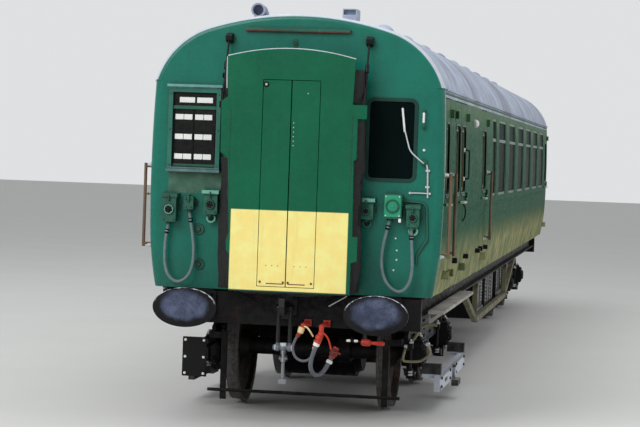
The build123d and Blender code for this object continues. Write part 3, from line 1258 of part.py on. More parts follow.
def gangway_leaves():
    y = (BOARD_FRONT, BOARD_FRONT + LEAF_THICKNESS)
    x = (LEAF_MEETING_GAP / 2, BOARD_DOOR_HALF_WIDTH - DOOR_HINGE_GAP)
    z = (BOARD_DOOR_BOTTOM + DOOR_HINGE_GAP, BOARD_DOOR_TOP - DOOR_HINGE_GAP)
    leaf = fused([block(x, y, z)] + leaf_hinges(1))
    save("gangway_leaf_right", [leaf])
    save("gangway_leaf_left", [mirror(leaf, Plane.YZ)])


def folded_tunnel(half_width, wall_thickness, z, y, folds):
    """A rectangular tunnel along Y with outward folds."""
    tunnel = block((-half_width, half_width), y, z)
    pitch = (y[1] - y[0]) / folds
    for fold in range(folds):
        middle = y[0] + (fold + 0.5) * pitch
        wide = half_width + BELLOWS_FOLD
        tunnel += block((-wide, wide), (middle - pitch / 4, middle + pitch / 4), (z[0], z[1] + BELLOWS_FOLD))
    inner = half_width - wall_thickness
    inside = block((-inner, inner), (y[0] - 1, y[1] + 1), (z[0] + wall_thickness, z[1] - wall_thickness))
    return tunnel - inside


def gangway_bellows():
    return [folded_tunnel(BELLOWS_HALF_WIDTH, BELLOWS_WALL, (BELLOWS_BOTTOM, BELLOWS_TOP),
                          (BOARD_FRONT + BOARD_THICKNESS, 0), BELLOWS_FOLDS)]


def rear_bellows():
    y = (BODY_LENGTH, BODY_LENGTH + REAR_BELLOWS_LENGTH)
    z = (REAR_GANGWAY_BOTTOM, REAR_BELLOWS_TOP)
    return [folded_tunnel(REAR_BELLOWS_HALF_WIDTH, BELLOWS_WALL, z, y, BELLOWS_FOLDS)]


def rear_faceplate():
    near = BODY_LENGTH + REAR_BELLOWS_LENGTH
    y = (near, near + REAR_FACEPLATE_THICKNESS)
    plate = block(span(0, 2 * REAR_FACEPLATE_HALF_WIDTH), y, (REAR_GANGWAY_BOTTOM, REAR_FACEPLATE_TOP))
    opening = span(0, 2 * REAR_OPENING_HALF_WIDTH)
    return [plate - block(opening, (y[0] - 1, y[1] + 1), (FLOOR_TOP, REAR_OPENING_TOP))]


def headcode_box():
    """Box on the front panel with a ledge, a sill and a recessed panel."""
    left, right, bottom, top = HEADCODE
    face = -HEADCODE_DEPTH
    box = block((left, right), (face, 0), (bottom, top))
    side, reach, high = HEADCODE_LEDGE
    ledge = block((left - side, right + side), (face - reach, 0), (top - high, top))
    side, reach, high = HEADCODE_SILL
    low = bottom - HEADCODE_SILL_DROP
    sill = block((left - side, right + side), (face - reach, 0), (low, low + high))
    left, right, bottom, top = HEADCODE_PANEL
    recess = block((left, right), (face - HEADCODE_RECESS, face + HEADCODE_RECESS), (bottom, top))
    return [fused([box, ledge, sill]) - recess]


# Jumper fittings: name, x, z of the middle, width, height and depth of the casting on the front panel,
# overhang of its lid, and radius of the socket ring in its face
JUMPER_CASTINGS = (
    ("left plug", -1152, 1930, 130, 250, 120, 10, 45),
    ("left elbow", -972, 1985, 90, 120, 110, 0, 0),
    ("left receptacle", -770, 1990, 130, 210, 90, 14, 42),
    ("right receptacle", 683, 1985, 130, 180, 90, 14, 36),
    ("right junction box", 928, 2025, 165, 225, 120, 0, 62),
    ("right lower receptacle", 1112, 1935, 116, 190, 90, 10, 40),
)
CASTING_CORNER = 18
LID_HEIGHT = 26
LID_CORNER = 6
SOCKET_REACH = 14
SOCKET_WALL = 9
GLAND_MARGIN = 7
CONDUIT_RADIUS = 11
CONDUIT_BEND = 60
CONDUIT_CLIP = 34
# Conduit from the junction box round the lower receptacle: x and z on the front panel
CONDUIT_ROUTE = ((1011, 2072), (1225, 2062), (1244, 1730), (1150, 1580), (1150, 1500))
# Discs on the front panel: x, z and radius
DISCS = ((-886, 1743, 52), (-875, 1418, 52), (-40, 3490, 24))
DISC_REACH = 14
DISC_BOSS_REACH = 20


def cord(route, diameter, name):
    """A tube of straight runs and tangent arcs; prints its radii, length and volume share."""
    points = [Vector(*point) for point in route]
    runs = [(b - a) for a, b in zip(points, points[1:])]
    arcs = []
    for before, after in zip(runs, runs[1:]):
        turn = radians(before.get_angle(after))
        arcs.append(ARC_SHARE * min(before.length, after.length) / tan(turn / 2))
    path = FilletPolyline(*points, radius=arcs)
    start = Plane(origin=path @ 0, z_dir=path % 0)
    tube = sweep(start * Circle(diameter / 2), path=path)
    share = tube.volume / (pi * diameter ** 2 / 4 * path.length)
    print(name, "length", round(path.length), "radii", [round(arc) for arc in arcs], "share", round(share, 4))
    return [tube]


# Cord routes, as points from the centre line, the front panel and the rail top
JUMPER_LEFT_ROUTE = (
    (-1165, -62, 1780), (-1182, -63, 1680), (-1190, -67, 1560), (-1186, -76, 1420), (-1150, -86, 1305),
    (-1062, -90, 1240), (-965, -86, 1288), (-918, -78, 1400), (-912, -72, 1545), (-930, -67, 1690),
    (-952, -63, 1800), (-968, -62, 1895),
)
JUMPER_RIGHT_ROUTE = (
    (896, -62, 1888), (876, -63, 1795), (850, -65, 1680), (833, -70, 1545), (850, -80, 1400),
    (915, -88, 1285), (1020, -90, 1232), (1100, -86, 1312), (1124, -76, 1440), (1117, -70, 1580),
    (1106, -65, 1700), (1101, -62, 1812),
)
HOSE_LEFT_ROUTE = (
    (133, -292, 838), (88, -295, 765), (80, -298, 680), (118, -300, 606), (205, -300, 585), (270, -296, 640),
    (282, -292, 720),
)
HOSE_RIGHT_ROUTE = (
    (312, -345, 762), (278, -352, 672), (254, -345, 580), (258, -298, 502), (288, -215, 455),
    (330, -135, 465), (370, -85, 530), (405, -60, 612),
)


# Brake cocks: length and radius of the barrel that each hose leaves
LEFT_COCK = (85, 21)
RIGHT_COCK = (110, 29)
PIPE_RISE = 40
PIPE_RADIUS = 19
PIPE_FLANGE = 64
PIPE_FLANGE_THICKNESS = 24


def before(route, length):
    """The point a length before a route's start, in line with its first run."""
    start, after = Vector(*route[0]), Vector(*route[1])
    return start - (after - start).normalized() * length


def gland(route, length, radius):
    """A round piece that a cord leaves square to its end face."""
    back = before(route, length)
    return rod(tuple(back), route[0], radius)


def casting(x, z, width, height, depth, lid, socket):
    """A casting on the front panel with an overhanging lid and a round socket in its face."""
    edges = (x - width / 2, x + width / 2, z - height / 2, z + height / 2)
    body = front_plate(edges, 0, CASTING_CORNER, (-depth, 0))
    if lid:
        cover = (edges[0] - lid, edges[1] + lid, edges[3] - LID_HEIGHT, edges[3] + lid / 2)
        body += front_plate(cover, 0, LID_CORNER, (-depth - lid, 0))
    if socket:
        face_z = z - lid
        inside = socket - SOCKET_WALL
        body += rod((x, 1 - depth, face_z), (x, -depth - SOCKET_REACH, face_z), socket)
        body -= rod((x, -depth, face_z), (x, -depth - SOCKET_REACH - 1, face_z), inside)
    return body


def jumper_fittings():
    """Castings on the front panel with the glands and spouts that the cables leave, and the conduit."""
    castings = {name: casting(*sizes) for name, *sizes in JUMPER_CASTINGS}
    radius = JUMPER_DIAMETER / 2 + GLAND_MARGIN
    castings["left plug"] += gland(JUMPER_LEFT_ROUTE, 40, radius)
    castings["left elbow"] += gland(JUMPER_LEFT_ROUTE[::-1], 50, radius)
    castings["right junction box"] += gland(JUMPER_RIGHT_ROUTE, 40, radius)
    castings["right lower receptacle"] += gland(JUMPER_RIGHT_ROUTE[::-1], 40, radius)
    return list(castings.values())


def front_fittings():
    """Conduit, discs, lamp bracket, grab handle and rain ledge on the front panel."""
    depth = -CONDUIT_RADIUS - SEAT_GAP
    points = [Vector(x, depth, z) for x, z in CONDUIT_ROUTE]
    path = FilletPolyline(*points, radius=CONDUIT_BEND)
    pieces = [sweep(Plane(origin=path @ 0, z_dir=path % 0) * Circle(CONDUIT_RADIUS), path=path)]
    for x, z, radius in DISCS:
        rim = [(0, 0), (0, radius), (DISC_REACH, 0.92 * radius), (DISC_REACH, 0.74 * radius),
               (DISC_REACH / 2, 0.7 * radius), (DISC_REACH / 2, 0.35 * radius),
               (DISC_BOSS_REACH, 0.28 * radius), (DISC_BOSS_REACH, 0)]
        pieces.append(turned(rim, (x, -SEAT_GAP, z), (0, -1, 0)))
    x, low, high = WINDOW_HANDLE
    pieces.append(front_handle(x, low, high))
    left, right, z = RAIN_LEDGE
    lip_y = (-RAIN_LEDGE_REACH, RAIN_LEDGE_THICKNESS / 2 - RAIN_LEDGE_REACH)
    ledge = block((left, right), (-RAIN_LEDGE_REACH, -SEAT_GAP), (z, z + RAIN_LEDGE_THICKNESS))
    pieces.append(ledge + block((left, right), lip_y, (z - RAIN_LEDGE_THICKNESS, z + 1)))
    return pieces


WINDOW_HANDLE = (1176, 2745, 2905)
FRONT_HANDLE_STANDOFF = 45
FRONT_HANDLE_RADIUS = 9
RAIN_LEDGE = (-508, 472, CANTRAIL_HEIGHT + 497)
RAIN_LEDGE_REACH = 42
RAIN_LEDGE_THICKNESS = 12


def front_handle(x, low, high):
    """A handle of round bar on the front panel, bent back to it at both ends."""
    root = -SEAT_GAP
    out = root - FRONT_HANDLE_STANDOFF
    route = [Vector(x, root, low), Vector(x, out, low), Vector(x, out, high), Vector(x, root, high)]
    path = FilletPolyline(*route, radius=2.5 * FRONT_HANDLE_RADIUS)
    return sweep(Plane(origin=path @ 0, z_dir=path % 0) * Circle(FRONT_HANDLE_RADIUS), path=path)


# Suspension of the gangway: x of each hanger
GANGWAY_HANGERS = (-650, 655)
HANGER_BRACKET_HEIGHT = CANTRAIL_HEIGHT + 405
HANGER_BUCKLE_HEIGHT = CANTRAIL_HEIGHT + 150
HANGER_BRACKET = (58, 84, 96)
HANGER_LUG = (44, 26, 60)
GANGWAY_ROD_RADIUS = 9
TURNBUCKLE_RADIUS = 19
TURNBUCKLE_LENGTH = 74


def gangway_suspension():
    """Brackets on the front panel with the rods that carry the end board."""
    pieces = []
    wide, reach, high = HANGER_BRACKET
    lug_wide, lug_deep, lug_high = HANGER_LUG
    back = BOARD_FRONT + BOARD_THICKNESS + SEAT_GAP
    lug = BOARD_EAR - lug_high
    cheek = [(-SEAT_GAP, -high / 2), (-SEAT_GAP, high / 2), (-reach, high / 4), (-reach, -high / 4)]
    for x in GANGWAY_HANGERS:
        top = Vector(x, wide / 2 - reach, HANGER_BRACKET_HEIGHT)
        end = Vector(x, back + lug_deep / 2, BOARD_EAR - lug_deep)
        run = end - top
        middle = top + run * ((top.Z - HANGER_BUCKLE_HEIGHT) / (top.Z - end.Z))
        half = run.normalized() * (TURNBUCKLE_LENGTH / 2)
        bracket = profile_yz([smooth(cheek, LID_CORNER)], (x - wide / 2, x + wide / 2))
        pieces.append(fused([
            Pos(0, 0, HANGER_BRACKET_HEIGHT) * bracket,
            rod(top, end, GANGWAY_ROD_RADIUS),
            rod(middle - half, middle + half, TURNBUCKLE_RADIUS),
            block((x - lug_wide / 2, x + lug_wide / 2), (back, back + lug_deep), (lug, BOARD_EAR)),
        ]))
    return pieces


def brake_pipes():
    """Pipes from the headstock with the cocks that the hoses leave."""
    shapes = []
    face = HEADSTOCK_SETBACK
    level = HEADSTOCK_BOTTOM + PIPE_RISE
    for route, head, radius in ((HOSE_LEFT_ROUTE, *LEFT_COCK), (HOSE_RIGHT_ROUTE, *RIGHT_COCK)):
        back = before(route, head - 15)
        flange_y = (face - PIPE_FLANGE_THICKNESS, face)
        shapes.append(fused([
            gland(route, head, radius),
            rod((back.X, face - 20, level), (back.X, back.Y, level), PIPE_RADIUS),
            rod(back, (back.X, back.Y, level + 10), PIPE_RADIUS + 3),
            block(span(back.X, PIPE_FLANGE), flange_y, span(level, PIPE_FLANGE)),
        ]))
    return shapes


def hose_heads():
    """Coupling heads on the far ends of the hoses."""
    return [gland(HOSE_LEFT_ROUTE[::-1], 70, 20), gland(HOSE_RIGHT_ROUTE[::-1], 105, 28)]


def handrails():
    """Vertical grab rails beside the cab and passenger doors, on two feet each."""
    rails = []
    for y, low, high in GRAB_RAILS:
        standoff = side_x((low + high) / 2) + RAIL_STANDOFF
        feet = [rod((side_x(z) - RAIL_FOOT, y, z), (standoff, y, z), RAIL_RADIUS - 3)
                for z in (low + RAIL_FOOT, high - RAIL_FOOT)]
        rail = fused([rod((standoff, y, low), (standoff, y, high), RAIL_RADIUS)] + feet)
        rails.append(rail - under_side((y - RAIL_FOOT, y + RAIL_FOOT), (low - RAIL_FOOT, high + RAIL_FOOT)))
    return mirrored(rails)


def footboards():
    """Boards along the solebars on open triangular brackets."""
    y = (FOOTBOARD_START, FOOTBOARD_END)
    inner, outer = span(FOOTBOARD_X, FOOTBOARD_WIDTH)
    board = block((inner, outer), y, (FOOTBOARD_HEIGHT, FOOTBOARD_HEIGHT + FOOTBOARD_THICKNESS))
    root = SOLEBAR_OUTER + SEAT_GAP
    top = FOOTBOARD_HEIGHT + 1
    foot = SOLEBAR_BOTTOM - 3 * BRACKET_ARM
    web = root + BRACKET_ARM / 2
    tip = outer - BRACKET_ARM
    triangle = outline([(root, top), (tip, top), (tip, top - FOOTBOARD_LIP), (web, foot), (root, foot)])
    under = top - BRACKET_ARM / 2
    gap = outline([(web, under), (tip - 1.6 * BRACKET_ARM, under), (web, foot + 1.4 * BRACKET_ARM)])
    bracket = profile_xz([triangle], (0, BRACKET_THICKNESS))
    bracket -= profile_xz([gap], (-1, BRACKET_THICKNESS + 1))
    pitch = (y[1] - y[0]) / FOOTBOARD_BRACKETS
    places = [y[0] + (index + 0.5) * pitch for index in range(FOOTBOARD_BRACKETS)]
    return mirrored([fused([board] + [Pos(0, at, 0) * bracket for at in places])])


def equipment_cases():
    """Cases under the floor with a row of raised doors on the outer face."""
    shapes = []
    for offset, length, low, width in CASES:
        y = BODY_LENGTH / 2 + offset
        case = block((CASE_OUTER - width, CASE_OUTER), (y, y + length), (low, CROSSBAR_BOTTOM))
        doors = round(length / CASE_DOOR_WIDTH)
        pitch = (length - CASE_DOOR_MARGIN) / doors
        size = (pitch - CASE_DOOR_MARGIN, CROSSBAR_BOTTOM - low - 2 * CASE_DOOR_MARGIN)
        door = RectangleRounded(*size, CASE_CORNER)
        for index in range(doors):
            middle = y + CASE_DOOR_MARGIN / 2 + (index + 0.5) * pitch
            origin = (CASE_OUTER - 1, middle, (low + CROSSBAR_BOTTOM) / 2)
            face = Plane(origin=origin, x_dir=(0, 1, 0), z_dir=(1, 0, 0))
            case += extrude(face * door, CASE_DOOR_REACH + 1)
        shapes += mirrored([case])
    return shapes


def partitions():
    shapes = []
    for y in (CAB_BACK, VAN_BACK, SALOON_FRONT, SALOON_BACK):
        span = (y, y + PARTITION_THICKNESS)
        edges = side_edges(WALL + SEAT_GAP, (FLOOR_TOP, PARTITION_TOP))
        edges += [Line((PARTITION_OPENING, level), (side_x(level, WALL + SEAT_GAP), level))
                  for level in (FLOOR_TOP, PARTITION_TOP)]
        edges.append(Line((PARTITION_OPENING, FLOOR_TOP), (PARTITION_OPENING, PARTITION_TOP)))
        shapes += mirrored([profile_xz(edges, span)])
    return shapes


# Driver's desk: outline as (y, z), ahead of the driver
DESK_X = (480, 1225)
DESK_FRONT = 90
DESK_DEPTH = 380
DESK_HEIGHT = 780
DESK_RISE = 130
DESK_KNEE = 250
CONTROLLER_RADIUS = 45
CONTROLLER_HEIGHT = 60
CONTROLLER_HANDLE_RADIUS = 9
CONTROLLER_HANDLE_RISE = 14
CONTROLLER_HANDLE_DROP = 12


def driver_desk():
    """Desk under the windscreen with a sloping top, a knee hole and the controller on it."""
    back = DESK_FRONT + DESK_DEPTH
    foot = FLOOR_TOP + SEAT_GAP
    top = FLOOR_TOP + DESK_HEIGHT
    ridge = top + DESK_RISE
    under = top - DESK_RISE
    desk = profile_yz([outline([(DESK_FRONT, foot), (DESK_FRONT, ridge), (DESK_FRONT + DESK_DEPTH / 3, ridge),
                                (back, top), (back, under), (DESK_KNEE, under), (DESK_KNEE, foot)])], DESK_X)
    x = DESK_X[0] + 2.5 * CONTROLLER_RADIUS
    y = back - 2 * CONTROLLER_RADIUS
    level = top + DESK_RISE / 4 + CONTROLLER_HEIGHT
    controller = rod((x, y, top - DESK_RISE / 2), (x, y, level), CONTROLLER_RADIUS)
    grip = (x, y - 3 * CONTROLLER_RADIUS, level + CONTROLLER_HANDLE_RISE)
    handle = rod((x, y, level - CONTROLLER_HANDLE_DROP), grip, CONTROLLER_HANDLE_RADIUS)
    return [fused([desk, controller, handle])]


def seats():
    """A bench at each end of each full bay, on both sides of the aisle."""
    benches = []
    top = FLOOR_TOP + SEAT_HEIGHT
    seat_back_top = FLOOR_TOP + SEAT_BACK_HEIGHT
    for bay in range(FULL_BAYS):
        near = FIRST_BAY + bay * WINDOW_PITCH
        for edge, toward in ((near, 1), (near + WINDOW_PITCH, -1)):
            back = edge + toward * 2
            foot = back + toward * SEAT_BACK_THICKNESS
            front = back + toward * SEAT_DEPTH
            cushion = [(foot + toward * SEAT_GAP, FLOOR_TOP), (front, FLOOR_TOP), (front, top),
                       (foot + toward * SEAT_GAP, top - 30)]
            rest = [(back, FLOOR_TOP), (foot, FLOOR_TOP), (foot, top), (back + toward * 60, seat_back_top),
                    (back, seat_back_top)]
            for points in (cushion, rest):
                benches.append(profile_yz([outline(points)], (AISLE_HALF_WIDTH, SEAT_WALL_X)))
    return mirrored(benches)


def guard_irons(pivot):
    """Irons ahead of the leading wheels, carried from the side frames, with the bar that ties them."""
    y = pivot - WHEELBASE / 2 - GUARD_IRON_AHEAD
    iron_y = span(y, GUARD_IRON_THICKNESS)
    top = SIDE_FRAME_TOP - SIDE_FRAME_END_DROP - GUARD_IRON_ARM / 2
    iron_x = span(GUARD_IRON_X, GUARD_IRON_WIDTH)
    arm_z = (top - GUARD_IRON_ARM, top)
    frame_end = pivot - WHEELBASE / 2 - SIDE_FRAME_OVERHANG + GUARD_IRON_ARM
    shapes = mirrored([fused([
        block(iron_x, iron_y, (GUARD_IRON_BOTTOM, top)),
        block((iron_x[0], SIDE_FRAME_INNER + 10), iron_y, arm_z),
        block((SIDE_FRAME_INNER - GUARD_IRON_THICKNESS, SIDE_FRAME_INNER), (iron_y[0], frame_end), arm_z),
    ])])
    bar_y = y - TIE_BAR_RADIUS - 2
    ends = [(x, bar_y, TIE_BAR_HEIGHT) for x in (-TIE_BAR_HALF_LENGTH, TIE_BAR_HALF_LENGTH)]
    return [fused(shapes + [rod(*ends, TIE_BAR_RADIUS)])]


def main():
    os.makedirs("parts", exist_ok=True)
    save("side_walls", side_walls())
    save("window_frames", window_frames())
    save("window_glass", window_glass())
    save("front_end", front_end())
    save("rear_end", rear_end())
    save("roof", roof())
    save("roof_ventilators", roof_ventilators())
    save("floor", floor())
    save("underframe", underframe())
    save("underframe_truss", underframe_truss())
    save("equipment_cases", equipment_cases())
    save("partitions", partitions())
    save("seats", seats())
    save("buffers", buffers())
    save("draw_gear", draw_gear())
    save("inner_coupling", inner_coupling())
    save("gangway_end_board", gangway_board())
    save("gangway_bellows", gangway_bellows())
    save("gangway_rear_bellows", rear_bellows())
    save("gangway_rear_faceplate", rear_faceplate())
    save("headcode_box", headcode_box())
    save("jumper_fittings", jumper_fittings())
    save("jumper_cable_left", cord(JUMPER_LEFT_ROUTE, JUMPER_DIAMETER, "left jumper"))
    save("jumper_cable_right", cord(JUMPER_RIGHT_ROUTE, JUMPER_DIAMETER, "right jumper"))
    save("brake_hose_left", cord(HOSE_LEFT_ROUTE, HOSE_DIAMETER, "left hose"))
    save("brake_hose_right", cord(HOSE_RIGHT_ROUTE, MAIN_HOSE_DIAMETER, "right hose"))
    save("front_fittings", front_fittings())
    save("gangway_suspension", gangway_suspension())
    save("driver_desk", driver_desk())
    save("brake_pipes", brake_pipes())
    save("hose_heads", hose_heads())
    save("handrails", handrails())
    save("footboards", footboards())
    side_doors()
    gangway_leaves()
    for name, pivot in (("motor", FRONT_PIVOT_Y), ("trailer", REAR_PIVOT_Y)):
        save(f"{name}_bogie_frame", bogie_frame(pivot))
        save(f"{name}_bogie_axleboxes", axleboxes(pivot))
        save(f"{name}_bogie_springs", springs(pivot))
        save(f"{name}_bogie_brakes", brakes(pivot, name == "trailer"))
        for rank, offset in zip(("leading", "trailing"), axle_offsets()):
            save(f"{name}_wheelset_{rank}", wheelset(pivot + offset))
    save("traction_motors", traction_motors(FRONT_PIVOT_Y))
    save("shoe_gear", shoe_gear(FRONT_PIVOT_Y))
    save("guard_irons", guard_irons(FRONT_PIVOT_Y))


main()
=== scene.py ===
import math
import random

import bmesh
import bpy
from mathutils import Matrix, Vector


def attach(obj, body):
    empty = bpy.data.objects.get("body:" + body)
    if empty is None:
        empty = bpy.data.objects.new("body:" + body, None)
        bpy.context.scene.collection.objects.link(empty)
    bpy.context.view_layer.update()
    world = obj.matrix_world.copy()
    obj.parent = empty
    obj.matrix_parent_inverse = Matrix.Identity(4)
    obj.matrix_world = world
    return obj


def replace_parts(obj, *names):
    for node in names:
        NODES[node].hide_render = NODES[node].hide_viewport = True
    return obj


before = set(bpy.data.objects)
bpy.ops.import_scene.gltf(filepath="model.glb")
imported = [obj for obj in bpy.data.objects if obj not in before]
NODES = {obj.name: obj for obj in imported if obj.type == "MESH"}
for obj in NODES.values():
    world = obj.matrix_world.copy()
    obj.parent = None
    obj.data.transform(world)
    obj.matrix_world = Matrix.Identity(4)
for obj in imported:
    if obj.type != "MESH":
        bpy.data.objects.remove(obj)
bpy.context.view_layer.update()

# The part's own layout: X from the centre line, Y from the front panel, Z from the rail top, in metres
HALF_LENGTH = 9.675
RAIL_TOP = 0.030
BODY_LENGTH = 19.350
AXLE_HEIGHT = 0.546
PIVOTS = {"motor_bogie": 2.970, "trailer_bogie": 16.380}
HALF_WHEELBASE = 1.335


def at(x, y, z):
    return Vector((x, y - HALF_LENGTH, z + RAIL_TOP))


# Materials. Colours are written from 0 to 255

YELLOW = (255, 234, 142)
BLACK = (8, 8, 9)
DUST = (104, 94, 82)
RUST = (98, 52, 30)


def linear(color):
    """A colour of 0 to 255 as a linear one with alpha; one that is linear stays as it is."""
    if len(color) == 4:
        return color
    shares = [value / 255 for value in color]
    return tuple(c / 12.92 if c <= 0.04045 else ((c + 0.055) / 1.055) ** 2.4 for c in shares) + (1.0,)


def shade(color, factor, more=0.0):
    return tuple(min(1.0, c * factor + more) for c in linear(color)[:3]) + (1.0,)


class Graph:
    """The node tree of one material, with its Principled shader."""

    def __init__(self, name, **constants):
        self.material = bpy.data.materials.new(name)
        self.material.use_nodes = True
        self.tree = self.material.node_tree
        self.shader = self.tree.nodes["Principled BSDF"]
        self.place = self.node("TexCoord").outputs["Object"]
        for key, value in constants.items():
            self.shader.inputs[key.replace("_", " ")].default_value = value

    def node(self, kind, inputs=None, **settings):
        made = self.tree.nodes.new("ShaderNode" + kind)
        for key, value in settings.items():
            setattr(made, key, value)
        for key, value in (inputs or {}).items():
            self.feed(made.inputs[key], value)
        return made

    def feed(self, socket, value):
        if isinstance(value, bpy.types.NodeSocket):
            self.tree.links.new(value, socket)
        else:
            socket.default_value = value

    def axis(self, name):
        return self.node("SeparateXYZ", {"Vector": self.place}).outputs[name]

    def noise(self, scale, detail=4.0, stretch=None, roughness=0.55):
        """Noise of about scale spots a metre; stretch multiplies the scale along X, Y and Z."""
        place = self.place
        if stretch:
            place = self.node("Mapping", {"Vector": place, "Scale": stretch}).outputs[0]
        return self.node("TexNoise", {"Vector": place, "Scale": scale, "Detail": detail,
                                      "Roughness": roughness}).outputs["Fac"]

    def ramp(self, value, low, high, out_low=0.0, out_high=1.0):
        """A smooth step of value from low to high."""
        return self.node("MapRange", {"Value": value, "From Min": low, "From Max": high, "To Min": out_low,
                                      "To Max": out_high}, interpolation_type="SMOOTHSTEP").outputs["Result"]

    def cloud(self, scale, detail, *limits, **more):
        """A ramp of noise."""
        return self.ramp(self.noise(scale, detail, **more), *limits)

    def math(self, operation, a, b=0.0):
        return self.node("Math", {0: a, 1: b}, operation=operation).outputs[0]

    def times(self, a, b):
        return self.math("MULTIPLY", a, b)

    def plus(self, a, b):
        return self.math("ADD", a, b)

    def within(self, low, high, soft=0.004):
        """1 between two corners given in the part's layout, 0 outside; None leaves an axis open."""
        share = None
        for axis, near, far, move in zip("XYZ", low, high, (0.0, -HALF_LENGTH, RAIL_TOP)):
            for limit, before, after in ((near, 0.0, 1.0), (far, 1.0, 0.0)):
                if limit is None:
                    continue
                step = self.ramp(self.axis(axis), limit + move - soft, limit + move + soft, before, after)
                share = step if share is None else self.times(share, step)
        return share

    def mix(self, share, a, b):
        """A blend of two colours or of what makes them."""
        made = self.node("Mix", data_type="RGBA", blend_type="MIX")
        for key, value in (("Factor", share), ("A", a), ("B", b)):
            self.feed(made.inputs[key], linear(value) if isinstance(value, tuple) else value)
        return made.outputs["Result"]

    def cavity(self, distance):
        """1 in corners and under edges, 0 in the open."""
        shadow = self.node("AmbientOcclusion", {"Distance": distance}, samples=6, only_local=False).outputs["AO"]
        return self.ramp(shadow, 0.55, 0.95, 1.0, 0.0)

    def bump(self, height, distance, strength=0.5, over=None):
        inputs = {"Height": height, "Distance": distance, "Strength": strength}
        if over is not None:
            inputs["Normal"] = over
        return self.node("Bump", inputs).outputs["Normal"]

    def done(self, color, roughness, normal=None):
        for key, value in (("Base Color", color), ("Roughness", roughness), ("Normal", normal)):
            if value is not None:
                self.feed(self.shader.inputs[key], value)
        return self.material


def paint(name, color, rough=0.3, vary=0.14, shade_and_dirt_share=0.35, grime_and_shade_color=DUST, low_grime=None, low_color=None,
          streak=0.25, run_scale=(9.0, 9.0, 0.22), top_fade=None, chips=0.0, chip_color=RUST, ripple=0.0006,
          grain=0.00006, specular=0.4, zones=()):
    """Brushed gloss paint on metal: uneven tone, painted shade with some dirt in corners and under edges, run marks,
    chips and a ripple in the sheet.

    zones are areas in another colour: their low corner, high corner and colour. low_grime and top_fade give
    two heights and a share.
    """
    g = Graph(name, Specular_IOR_Level=specular)
    lighter = shade(color, 1 + vary, 0.006 * vary)
    tone = g.mix(g.cloud(1.7, 6.0, 0.3, 0.7), shade(color, 1 - vary), lighter)
    blotch = g.cloud(9.0, 5.0, 0.35, 0.75)
    tone = g.mix(g.times(blotch, 0.35), tone, lighter)
    for low, high, zone_color in zones:
        tone = g.mix(g.within(low, high), tone, g.mix(blotch, zone_color, shade(zone_color, 1.06, 0.05)))
    runs = g.cloud(3.0, 5.0, 0.52, 0.78, stretch=(run_scale[0] / 1.5, 6.0, 0.35))
    tone = g.mix(g.times(runs, streak), tone, grime_and_shade_color)
    # painted shade with some dirt: an occlusion mask darkens corners and the undersides of edges, and roughens them
    corner_shade_and_dirt = g.times(g.cavity(0.05), g.cloud(14.0, 5.0, 0.25, 0.65, 0.35, 1.0))
    tone = g.mix(g.times(corner_shade_and_dirt, shade_and_dirt_share), tone, grime_and_shade_color)
    roughness = g.plus(g.cloud(22.0, 4.0, 0.3, 0.7, rough * 0.8, rough * 1.25), g.times(corner_shade_and_dirt, 0.25))
    if low_grime:
        low, high, share = low_grime
        splash = g.times(g.ramp(g.axis("Z"), low, high, 1.0, 0.0), g.cloud(5.0, 6.0, 0.3, 0.7, 0.35, 1.0))
        lines = g.cloud(2.0, 5.0, 0.55, 0.63, 1.0, 0.5, stretch=run_scale)
        splash = g.times(g.times(splash, lines), share)
        tone = g.mix(splash, tone, low_color or grime_and_shade_color)
        roughness = g.plus(roughness, g.times(splash, 0.5))
    if top_fade:
        low, high, share, fade_color = top_fade
        pale = g.times(g.ramp(g.axis("Z"), low, high), g.cloud(4.0, 5.0, 0.3, 0.7, 0.6, 1.0))
        tone = g.mix(g.times(pale, share), tone, fade_color)
    if chips:
        spots = g.cloud(34.0, 8.0, 0.70 - chips * 0.2, 0.73 - chips * 0.2, roughness=0.7)
        tone = g.mix(g.times(spots, 0.85), tone, chip_color)
        roughness = g.plus(roughness, g.times(spots, 0.3))
    normal = g.bump(g.noise(1.3, 3.0), ripple * 30, 0.6)
    return g.done(tone, roughness, g.bump(g.noise(160.0, 3.0), grain * 10, 0.6, over=normal))


def iron(name, color=BLACK, dusty=0.24, rusty=0.16, rough=0.5):
    """Painted ironwork under the floor: brown dust on it, rust patches and grease."""
    g = Graph(name, Specular_IOR_Level=0.2)
    tone = g.mix(g.cloud(4.0, 6.0, 0.35, 0.7), color, shade(color, 1.8))
    up = g.node("SeparateXYZ", {"Vector": g.node("NewGeometry").outputs["Normal"]}).outputs["Z"]
    settled = g.times(g.ramp(up, 0.2, 0.95), g.cloud(11.0, 5.0, 0.25, 0.65, 0.3, 1.0))
    tone = g.mix(g.times(settled, dusty), tone, DUST)
    tone = g.mix(g.times(g.cloud(7.0, 8.0, 0.56, 0.68, roughness=0.65), rusty), tone, RUST)
    roughness = g.plus(g.cloud(18.0, 4.0, 0.3, 0.7, rough * 0.75, rough * 1.5), g.times(settled, 0.3))
    return g.done(tone, roughness, g.bump(g.noise(60.0, 5.0), 0.0025))


